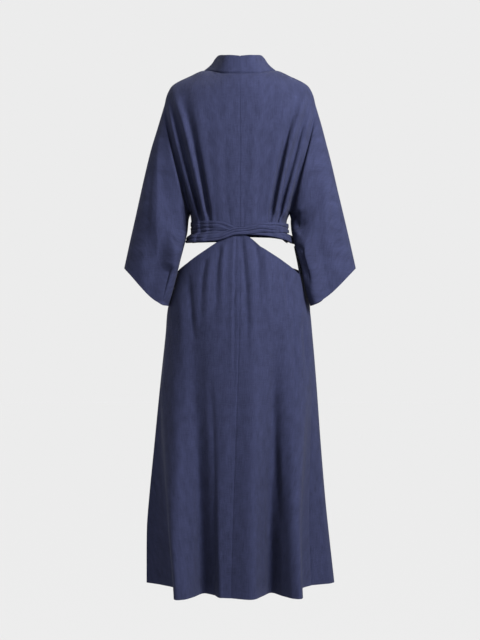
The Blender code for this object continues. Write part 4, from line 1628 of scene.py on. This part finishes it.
BLADE_FOLDS = (
    Fold(((54, -90), (55, -220), (50, -390)), 1.3, 12, 9, 0.0, 0.4, 0.2),
    Fold(((38, -150), (36, -260), (30, -395)), -1.0, 8, 8, 0.0, 0.5, 0.1),
    Fold(((-34, -80), (-30, -230), (-19, -395)), 1.2, 9, 12, 0.0, 0.4, 0.2),
    Fold(((-50, -160), (-48, -270), (-42, -395)), -1.0, 8, 8, 0.0, 0.5, 0.1),
    Fold(((13, -330), (11, -404)), 1.3, 4, 4, 0.0, 0.7, 0.0),
    Fold(((28, -318), (23, -404)), -1.3, 4, 4, 0.1, 0.7, 0.0),
    Fold(((62, -335), (56, -404)), -1.4, 4, 5, 0.1, 0.7, 0.0),
    Fold(((-11, -322), (-9, -404)), -1.2, 4, 4, 0.1, 0.7, 0.0),
    Fold(((-34, -330), (-29, -404)), 1.3, 4, 4, 0.0, 0.7, 0.0),
    Fold(((-63, -338), (-57, -404)), -1.4, 5, 4, 0.1, 0.7, 0.0),
)
SLEEVE_FOLDS = (
    Fold(((196, -118), (201, -250), (202, -370), (202, -530)), 7.5, 42, 11, 0.7, 0.3, 0.25),
    Fold(((214, -180), (221, -300), (226, -440)), -2.6, 10, 8, 0.1, 0.4, 0.4),
    Fold(((171, -404), (160, -424), (147, -436)), -3.4, 4, 4, 0.4, 0.4, 0.3),
    Fold(((178, -394), (166, -412), (151, -424)), 2.4, 5, 4, 0.2, 0.4, 0.3),
    Fold(((170, -480), (177, -512), (182, -545), (188, -592)), -14.0, 22, 13, 0.1, 0.25, 0.1),
    Fold(((232, -420), (238, -478), (243, -540)), 2.4, 12, 12, 0.0, 0.4, 0.1),
    Fold(((-129, -350), (-136, -376), (-146, -404)), -10.0, 8, 18, 0.2, 0.25, 0.35),
    Fold(((-132, -392), (-146, -412), (-160, -428)), 1.8, 6, 6, 0.3, 0.3, 0.4),
    Fold(((-143, -428), (-152, -466), (-162, -512), (-172, -562)), -12.0, 8, 21, 0.2, 0.2, 0.4),
    Fold(((-204, -250), (-209, -350), (-214, -470)), 2.8, 9, 14, 0.1, 0.4, 0.4),
    Fold(((-222, -230), (-229, -340), (-236, -470)), -2.2, 8, 10, 0.1, 0.4, 0.4),
)
SKIRT_FOLDS = (
    Fold(((2.5, -413), (11, -438), (14.5, -675), (15.5, -830)), -2.4, 1.8, 3.2, 0.8, 0.02, 0.35),
    Fold(((6, -416), (16, -445), (19.5, -675), (20, -800)), 1.6, 5, 3, 0.2, 0.05, 0.4),
    Fold(((-3.75, -412), (-13.75, -530), (-17.75, -632), (-20, -760)), -4.4, 6.5, 6, 0.1, 0.04, 0.5),
    Fold(((-12, -418), (-27, -530), (-36, -690)), 3.0, 9, 11, 0.0, 0.1, 0.5),
    Fold(((36, -428), (42, -500), (46, -660)), 3.2, 7, 7, 0.0, 0.15, 0.5),
    Fold(((49, -440), (57, -510), (62, -680)), -3.6, 5, 6, 0.2, 0.1, 0.5),
    Fold(((68, -458), (77, -530), (84, -690)), 2.8, 7, 7, 0.0, 0.15, 0.5),
    Fold(((84, -472), (93, -530), (99, -670)), -3.4, 5, 6, 0.2, 0.1, 0.5),
    Fold(((128, -500), (119, -600), (110, -690)), -5.0, 8, 7, 0.3, 0.25, 0.4),
    Fold(((146, -520), (142, -640), (140, -760)), 2.8, 12, 10, 0.0, 0.3, 0.4),
    Fold(((74, -740), (67, -860), (64, -1000), (64, -1285)), -5.0, 8, 10, 0.2, 0.3, 0.0),
    Fold(((-38, -425), (-46, -500), (-50, -660)), -3.6, 6, 5, 0.2, 0.1, 0.5),
    Fold(((-56, -440), (-66, -520), (-72, -680)), 3.0, 7, 7, 0.0, 0.15, 0.5),
    Fold(((-84, -650), (-82, -870), (-89, -1020), (-101, -1180)), -5.0, 8, 9, 0.3, 0.3, 0.4),
    Fold(((-108, -488), (-115, -545), (-118, -630)), -5.0, 5, 6, 0.4, 0.3, 0.4),
    Fold(((-127, -560), (-133, -700), (-133, -890)), -2.6, 5, 4, 0.5, 0.3, 0.4),
    Fold(((-152, -600), (-162, -680), (-168, -770)), -5.0, 9, 9, 0.2, 0.4, 0.4),
    Fold(((-146, -540), (-149, -660), (-150, -800)), 2.6, 9, 9, 0.0, 0.3, 0.4),
    Fold(((30, -760), (36, -950), (40, -1285)), 2.6, 16, 14, 0.0, 0.4, 0.0),
    Fold(((110, -720), (112, -940), (118, -1285)), 3.0, 18, 16, 0.0, 0.4, 0.0),
    Fold(((-46, -740), (-48, -960), (-52, -1285)), 3.0, 18, 16, 0.0, 0.4, 0.0),
    Fold(((-122, -900), (-126, -1060), (-132, -1285)), 3.0, 16, 14, 0.0, 0.4, 0.0),
)


@dataclass(frozen=True)
class LinenLook:
    """Matte indigo plain weave: its colour, its threads, the slubs that run down it and its sheen."""

    colour: tuple[float, float, float] = (0.0182, 0.0210, 0.0480)
    roughness: float = 0.86
    specular: float = 0.05
    sheen: float = 0.015
    sheen_roughness: float = 0.45
    thread_pitch: float = 0.0007
    slub_tone: float = 0.7
    mottle_tone: float = 0.6
    weave_tone: float = 0.10
    bump_distance: float = 0.00025
    slubs_down: tuple[float, float] = (460.0, 34.0)
    slubs_across: tuple[float, float] = (60.0, 520.0)
    across_share: float = 0.8
    mottle_scale: tuple[float, float] = (60.0, 30.0)
    noise_detail: float = 3.0
    thread_height: float = 0.5
    slub_height: float = 1.4

    def weave_group(self) -> bpy.types.NodeTree:
        """The cloth's threads and slubs as tone and height, read from the flat cloth's own map.

        Returns:
            The node group.
        """
        group = bpy.data.node_groups.new("slubbed_weave", "ShaderNodeTree")
        sockets = group.interface
        sockets.new_socket("Place", in_out="INPUT", socket_type="NodeSocketVector")
        for name in ("Pitch", "Slub", "Mottle", "Weave"):
            sockets.new_socket(name, in_out="INPUT", socket_type="NodeSocketFloat")
        sockets.new_socket("Tone", in_out="OUTPUT", socket_type="NodeSocketFloat")
        sockets.new_socket("Height", in_out="OUTPUT", socket_type="NodeSocketFloat")
        nodes, links = group.nodes, group.links
        inlet, outlet = nodes.new("NodeGroupInput"), nodes.new("NodeGroupOutput")

        def value(operation: str, first: object, second: object = None) -> bpy.types.NodeSocket:
            """Add a math node.

            Args:
                operation: what it works out.
                first: a number, or the socket that feeds it.
                second: the same for its second input, or None.

            Returns:
                Its output.
            """
            node = nodes.new("ShaderNodeMath")
            node.operation = operation
            for socket, given in zip(node.inputs, (first, second)):
                if isinstance(given, (int, float)):
                    socket.default_value = given
                elif given is not None:
                    links.new(given, socket)
            return node.outputs[0]

        def noise(scale: tuple[float, float]) -> bpy.types.NodeSocket:
            """Add uneven tone on the flat cloth.

            Args:
                scale: how many patches stand in a metre across and down.

            Returns:
                Its value, even about zero.
            """
            stretch = nodes.new("ShaderNodeVectorMath")
            stretch.operation = "MULTIPLY"
            stretch.inputs[1].default_value = (scale[0], scale[1], 1.0)
            links.new(inlet.outputs["Place"], stretch.inputs[0])
            texture = nodes.new("ShaderNodeTexNoise")
            texture.inputs["Scale"].default_value = 1.0
            texture.inputs["Detail"].default_value = self.noise_detail
            links.new(stretch.outputs[0], texture.inputs["Vector"])
            return value("SUBTRACT", texture.outputs[0], 0.5)

        split = nodes.new("ShaderNodeSeparateXYZ")
        links.new(inlet.outputs["Place"], split.inputs[0])
        turn = value("DIVIDE", 2 * math.pi, inlet.outputs["Pitch"])
        warp = value("SINE", value("MULTIPLY", split.outputs["X"], turn))
        weft = value("SINE", value("MULTIPLY", split.outputs["Y"], turn))
        threads = value("MULTIPLY", warp, weft)
        down = noise(self.slubs_down)
        across = value("MULTIPLY", noise(self.slubs_across), self.across_share)
        slubs = value("ADD", down, across)
        mottle = noise(self.mottle_scale)
        tone = value("MULTIPLY", threads, inlet.outputs["Weave"])
        tone = value("ADD", tone, value("MULTIPLY", slubs, inlet.outputs["Slub"]))
        tone = value("ADD", tone, value("MULTIPLY", mottle, inlet.outputs["Mottle"]))
        links.new(value("ADD", tone, 1.0), outlet.inputs["Tone"])
        thread_height = value("MULTIPLY", threads, self.thread_height)
        height = value("ADD", thread_height, value("MULTIPLY", slubs, self.slub_height))
        links.new(height, outlet.inputs["Height"])
        return group

    def material(self) -> bpy.types.Material:
        """The cloth's material.

        Returns:
            The material, with its values set.
        """
        material = bpy.data.materials.new(CLOTH_SLOT)
        material.use_nodes = True
        nodes, links = material.node_tree.nodes, material.node_tree.links
        shader = nodes["Principled BSDF"]
        place = nodes.new("ShaderNodeUVMap")
        place.uv_map = "cloth"
        weave = nodes.new("ShaderNodeGroup")
        weave.node_tree = self.weave_group()
        weave.inputs["Pitch"].default_value = self.thread_pitch
        weave.inputs["Slub"].default_value = self.slub_tone
        weave.inputs["Mottle"].default_value = self.mottle_tone
        weave.inputs["Weave"].default_value = self.weave_tone
        links.new(place.outputs[0], weave.inputs["Place"])
        tint = nodes.new("ShaderNodeVectorMath")
        tint.operation = "SCALE"
        tint.inputs[0].default_value = self.colour
        links.new(weave.outputs["Tone"], tint.inputs["Scale"])
        links.new(tint.outputs[0], shader.inputs["Base Color"])
        bump = nodes.new("ShaderNodeBump")
        bump.inputs["Distance"].default_value = self.bump_distance
        links.new(weave.outputs["Height"], bump.inputs["Height"])
        links.new(bump.outputs[0], shader.inputs["Normal"])
        shader.inputs["Roughness"].default_value = self.roughness
        shader.inputs["Specular IOR Level"].default_value = self.specular
        shader.inputs["Sheen Weight"].default_value = self.sheen
        shader.inputs["Sheen Roughness"].default_value = self.sheen_roughness
        return material


@dataclass(frozen=True)
class Stitching:
    """A row of short stitches: how far apart, how long and how thick, in metres."""

    spacing: float = 0.0034
    length: float = 0.0023
    thickness: float = 0.00045
    lift: float = 0.12

    def tree(self) -> bpy.types.NodeTree:
        """Geometry nodes that lay stitches along the edges of a mesh.

        Returns:
            The node tree.
        """
        tree = bpy.data.node_groups.new("stitches_on_path", "GeometryNodeTree")
        sockets = tree.interface
        sockets.new_socket("Geometry", in_out="INPUT", socket_type="NodeSocketGeometry")
        for name in ("Spacing", "Length", "Thickness"):
            sockets.new_socket(name, in_out="INPUT", socket_type="NodeSocketFloat")
        sockets.new_socket("Material", in_out="INPUT", socket_type="NodeSocketMaterial")
        sockets.new_socket("Geometry", in_out="OUTPUT", socket_type="NodeSocketGeometry")
        nodes, links = tree.nodes, tree.links
        inlet, outlet = nodes.new("NodeGroupInput"), nodes.new("NodeGroupOutput")
        curve = nodes.new("GeometryNodeMeshToCurve")
        resample = nodes.new("GeometryNodeResampleCurve")
        resample.mode = "LENGTH"
        tangent = nodes.new("GeometryNodeInputTangent")
        align = nodes.new("FunctionNodeAlignEulerToVector")
        align.axis = "Z"
        stitch = nodes.new("GeometryNodeMeshUVSphere")
        stitch.inputs["Segments"].default_value = 6
        stitch.inputs["Rings"].default_value = 4
        stitch.inputs["Radius"].default_value = 0.5
        size = nodes.new("ShaderNodeCombineXYZ")
        place = nodes.new("GeometryNodeInstanceOnPoints")
        realize = nodes.new("GeometryNodeRealizeInstances")
        finish = nodes.new("GeometryNodeSetMaterial")
        smooth = nodes.new("GeometryNodeSetShadeSmooth")
        links.new(inlet.outputs["Geometry"], curve.inputs[0])
        links.new(curve.outputs[0], resample.inputs["Curve"])
        links.new(inlet.outputs["Spacing"], resample.inputs["Length"])
        links.new(tangent.outputs[0], align.inputs["Vector"])
        links.new(inlet.outputs["Thickness"], size.inputs["X"])
        links.new(inlet.outputs["Thickness"], size.inputs["Y"])
        links.new(inlet.outputs["Length"], size.inputs["Z"])
        links.new(resample.outputs[0], place.inputs["Points"])
        links.new(stitch.outputs["Mesh"], place.inputs["Instance"])
        links.new(align.outputs[0], place.inputs["Rotation"])
        links.new(size.outputs[0], place.inputs["Scale"])
        links.new(place.outputs[0], smooth.inputs["Geometry"])
        links.new(smooth.outputs[0], realize.inputs[0])
        links.new(realize.outputs[0], finish.inputs["Geometry"])
        links.new(inlet.outputs["Material"], finish.inputs["Material"])
        links.new(finish.outputs[0], outlet.inputs["Geometry"])
        return tree

    def sew(self, name: str, paths: list[np.ndarray], tree: bpy.types.NodeTree,
            material: bpy.types.Material) -> bpy.types.Object:
        """Lay stitches along paths.

        Args:
            name: the name of the piece.
            paths: points of each path in millimetres.
            tree: the stitch nodes.
            material: the thread's material.

        Returns:
            The stitches as one plain mesh.
        """
        points, edges = [], []
        for path in paths:
            first = len(points)
            points += [p * MM for p in path]
            edges += [(first + k, first + k + 1) for k in range(len(path) - 1)]
        mesh = bpy.data.meshes.new(f"{name}_path")
        mesh.from_pydata([tuple(p) for p in points], edges, [])
        obj = bpy.data.objects.new(name, mesh)
        bpy.context.scene.collection.objects.link(obj)
        modifier = obj.modifiers.new("stitches", "NODES")
        modifier.node_group = tree
        values = {
            "Spacing": self.spacing,
            "Length": self.length,
            "Thickness": self.thickness,
            "Material": material,
        }
        for item in tree.interface.items_tree:
            if item.in_out == "INPUT" and item.name in values:
                modifier[item.identifier] = values[item.name]
        obj.update_tag()
        depsgraph = bpy.context.evaluated_depsgraph_get()
        plain = bpy.data.meshes.new_from_object(obj.evaluated_get(depsgraph))
        obj.modifiers.clear()
        obj.data = plain
        bpy.data.meshes.remove(mesh)
        return obj


def path_inside(cloth: Cloth, numbers: np.ndarray, depth: float, lift: float) -> np.ndarray:
    """A line on the cloth at an even distance from an edge.

    Args:
        cloth: the folded sheet.
        numbers: numbers of its points, the edge as the first row and further rows inside it.
        depth: distance from the edge along the cloth, in millimetres.
        lift: how far the line stands out from the cloth.

    Returns:
        Points of the line.
    """
    outward = cloth.normals()
    points = np.array(cloth.points)
    line = []
    for column in numbers.T:
        run = run_along(points[column])
        place = [np.interp(depth, run, points[column][:, axis]) for axis in range(3)]
        normal = [np.interp(depth, run, outward[column][:, axis]) for axis in range(3)]
        line.append(np.array(place) + np.array(normal) * lift)
    return np.array(line)


@dataclass(frozen=True)
class Sun:
    """A wide soft light far away: where it stands, how strong and how wide it is."""

    name: str
    place: tuple[float, float, float]
    strength: float
    width_degrees: float


@dataclass(frozen=True)
class SoftBox:
    """A square soft light near the robe: its place, what it faces, its power and its size in metres."""

    name: str
    place: tuple[float, float, float]
    aim: tuple[float, float, float]
    power: float
    size: float


@dataclass
class Studio:
    """Pale floor, soft light and the camera behind the robe."""

    background: float = 0.839
    ambient: float = 1.0
    floor_z: float = -6.0
    floor_size: float = 160.0
    floor_tone: float = 0.718
    camera_y: float = 3.2
    camera_z: float = -0.62
    lens: float = 72.0
    key: SoftBox = SoftBox("key_light", (-1.4, 1.6, 0.8), (0.0, 0.0, -0.4), 185.0, 0.7)
    suns: tuple[Sun, ...] = (Sun("front_light", (0.8, -3.0, 2.0), 1.6, 60.0),)

    def build(self) -> None:
        """Make the floor, the world, the lights and the camera."""
        self.floor()
        self.world()
        self.soft_box()
        for sun in self.suns:
            self.light(sun)
        self.camera()

    def floor(self) -> None:
        """Large plain floor below the hem."""
        half = self.floor_size / 2
        corners = [(-half, -half, self.floor_z), (half, -half, self.floor_z)]
        corners += [(half, half, self.floor_z), (-half, half, self.floor_z)]
        mesh = bpy.data.meshes.new("floor")
        mesh.from_pydata(corners, [], [(0, 1, 2, 3)])
        material = bpy.data.materials.new("floor")
        material.use_nodes = True
        shader = material.node_tree.nodes["Principled BSDF"]
        shader.inputs["Base Color"].default_value = (self.floor_tone, self.floor_tone, self.floor_tone, 1.0)
        shader.inputs["Roughness"].default_value = 1.0
        shader.inputs["Specular IOR Level"].default_value = 0.0
        mesh.materials.append(material)
        obj = bpy.data.objects.new("floor", mesh)
        bpy.context.scene.collection.objects.link(obj)

    def world(self) -> None:
        """Even pale surroundings."""
        world = bpy.data.worlds.new("studio")
        world.use_nodes = True
        surface = world.node_tree.nodes["Background"]
        surface.inputs["Color"].default_value = (self.background, self.background, self.background, 1.0)
        surface.inputs["Strength"].default_value = self.ambient
        bpy.context.scene.world = world
        bpy.context.scene.view_settings.view_transform = "Standard"

    def soft_box(self) -> None:
        """The key light, which stands high on the image's right, so that the robe darkens away from it."""
        data = bpy.data.lights.new(self.key.name, "AREA")
        data.energy = self.key.power
        data.size = self.key.size
        obj = bpy.data.objects.new(self.key.name, data)
        obj.location = self.key.place
        obj.rotation_euler = look_along(np.array(self.key.aim) - np.array(self.key.place))
        obj.visible_camera = False
        bpy.context.scene.collection.objects.link(obj)

    def light(self, sun: Sun) -> None:
        """One sun lamp that shines from its place towards the robe's middle.

        Args:
            sun: the light's plan.
        """
        data = bpy.data.lights.new(sun.name, "SUN")
        data.energy = sun.strength
        data.angle = math.radians(sun.width_degrees)
        obj = bpy.data.objects.new(sun.name, data)
        obj.location = sun.place
        aim = np.array([0.0, 0.0, self.camera_z]) - np.array(sun.place)
        obj.rotation_euler = look_along(aim)
        bpy.context.scene.collection.objects.link(obj)

    def camera(self) -> None:
        """Camera straight behind the robe, at half its height."""
        data = bpy.data.cameras.new("camera")
        data.lens = self.lens
        data.sensor_fit = "VERTICAL"
        data.sensor_height = 36.0
        obj = bpy.data.objects.new("camera", data)
        obj.location = (0.0, self.camera_y, self.camera_z)
        obj.rotation_euler = look_along(np.array([0.0, -1.0, 0.0]))
        bpy.context.scene.collection.objects.link(obj)
        bpy.context.scene.camera = obj


def look_along(direction: Point) -> tuple[float, float, float]:
    """Euler angles that turn an object's -Z axis along a direction, with +Z kept up."""
    x, y, z = direction / np.linalg.norm(direction)
    return (math.acos(-z), 0.0, math.atan2(-x, y))


@dataclass(frozen=True)
class Cut:
    """What a sheet was cut to: the solid it stands for, its size in metres and how it is held."""

    node: str
    width: float
    length: float
    area: float
    held: str
    rests_on: tuple[str, ...]


@dataclass
class Robe:
    """The whole robe: builds its pieces in order and fastens each to the frame."""

    material: bpy.types.Material
    stitching: Stitching
    bodice: Bodice
    band: Neckband
    sash: Sash
    skirt: Skirt
    hem_depth: float = 20.0
    cuff_depth: float = 18.0
    cut_out_depth: float = 5.0
    hem_thicker: float = 1.9

    def fasten(self, obj: bpy.types.Object, node: str | None) -> None:
        """Give a piece its cloth and let it ride on the robe's one body.

        Args:
            obj: the piece.
            node: the solid it stands for, or None.
        """
        if not obj.data.materials:
            obj.data.materials.append(self.material)
        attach(obj, BODY)
        if node:
            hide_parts(node)
        LOG.info("%s: %d faces", obj.name, len(obj.data.polygons))

    def sheet(self, cloth: Cloth, node: str, wall: float | np.ndarray, paths: list[np.ndarray],
              tree: bpy.types.NodeTree, extra: tuple[bpy.types.Object, ...] = ()) -> bpy.types.Object:
        """Make one sheet with its stitches.

        Args:
            cloth: the folded sheet.
            node: the solid it stands for.
            wall: its thickness in millimetres.
            paths: the lines of its stitches.
            tree: the stitch nodes.
            extra: further pieces that go with it.

        Returns:
            The sheet's object.
        """
        obj = cloth.build(wall)
        self.fasten(obj, node)
        pieces = list(extra)
        if paths:
            stitches = self.stitching.sew(f"{node}_stitches", paths, tree, self.material)
            self.fasten(stitches, None)
            pieces.append(stitches)
        return obj

    def build(self) -> None:
        """Build every piece."""
        tree = self.stitching.tree()
        edges: dict[Side, list] = {Side.LEFT: [], Side.RIGHT: []}
        for face in Face:
            for side in Side:
                cloth, edge, cuff = self.bodice.panel(face, side)
                edges[side].append((cloth, edge))
                path = path_inside(cloth, cuff, self.cuff_depth, self.stitching.lift)
                node = f"bodice_{face.name.lower()}_{side.name.lower()}"
                wall = self.hem_wall(cloth, self.bodice.wall, [(cuff, self.cuff_depth)])
                self.sheet(cloth, node, wall, [path], tree)
        for side in Side:
            cloth = self.band.half(side, self.bodice, edges[side])
            self.sheet(cloth, f"neckband_{side.name.lower()}", self.band.walls(cloth), [], tree)
        knot = self.sash.knot("sash_knot_cloth")
        self.fasten(knot, "sash_knot")
        strand_a = self.sash.strand("sash_strand_a_cloth", STRAND_A, CREASES_A)
        self.sheet(strand_a, "sash_strand_a", self.sash.wall, [], tree, (knot,))
        strand_b = self.sash.strand("sash_strand_b_cloth", STRAND_B, CREASES_B)
        self.sheet(strand_b, "sash_strand_b", self.sash.wall, [], tree)
        for node, plan in (("sash_tail_long", TAIL_LONG), ("sash_tail_short", TAIL_SHORT)):
            self.sheet(self.sash.tail(f"{node}_cloth", plan), node, self.sash.wall, [], tree)
        for node, lines, side in (
            ("skirt_back_left", SKIRT_BACK_LEFT, Side.LEFT),
            ("skirt_back_right", SKIRT_BACK_RIGHT, Side.RIGHT),
            ("skirt_front_left", SKIRT_FRONT_LEFT, Side.LEFT),
            ("skirt_front_right", SKIRT_FRONT_RIGHT, Side.RIGHT),
        ):
            cloth, numbers = self.skirt.piece(node, lines, side)
            hem = path_inside(cloth, numbers[::-1], self.hem_depth, self.stitching.lift)
            top = path_inside(cloth, numbers, self.cut_out_depth, self.stitching.lift)
            wall = self.hem_wall(cloth, self.skirt.wall, [(numbers[::-1], self.hem_depth)])
            self.sheet(cloth, node, wall, [hem, top], tree)

    def hem_wall(self, cloth: Cloth, wall: float, hems: list[tuple[np.ndarray, float]]) -> np.ndarray:
        """Thickness of a sheet at each point, doubled where its hem is turned up.

        Args:
            cloth: the sheet.
            wall: its thickness in millimetres.
            hems: numbers and depth of each hem.

        Returns:
            One thickness for each point.
        """
        walls = np.full(len(cloth.points), wall)
        points = np.array(cloth.points)
        for numbers, depth in hems:
            for column in numbers.T:
                walls[column[run_along(points[column]) <= depth]] = wall * self.hem_thicker
        return walls


def main() -> None:
    """Build the studio and the robe."""
    logging.basicConfig(level=logging.INFO, format="%(message)s")
    Studio().build()
    material = LinenLook().material()
    form, skirt_form = BodyForm(), SkirtForm()
    front_folds = tuple(one.mirrored() for one in CHEST_FOLDS + SLEEVE_FOLDS)
    robe = Robe(
        material=material,
        stitching=Stitching(),
        bodice=Bodice(form, back_folds=CHEST_FOLDS + BLADE_FOLDS + SLEEVE_FOLDS, front_folds=front_folds),
        band=Neckband(form),
        sash=Sash(form, skirt_form),
        skirt=Skirt(
            skirt_form, back_folds=SKIRT_FOLDS, front_folds=tuple(one.mirrored() for one in SKIRT_FOLDS)
        ),
    )
    robe.build()


if __name__ == "__main__":
    main()
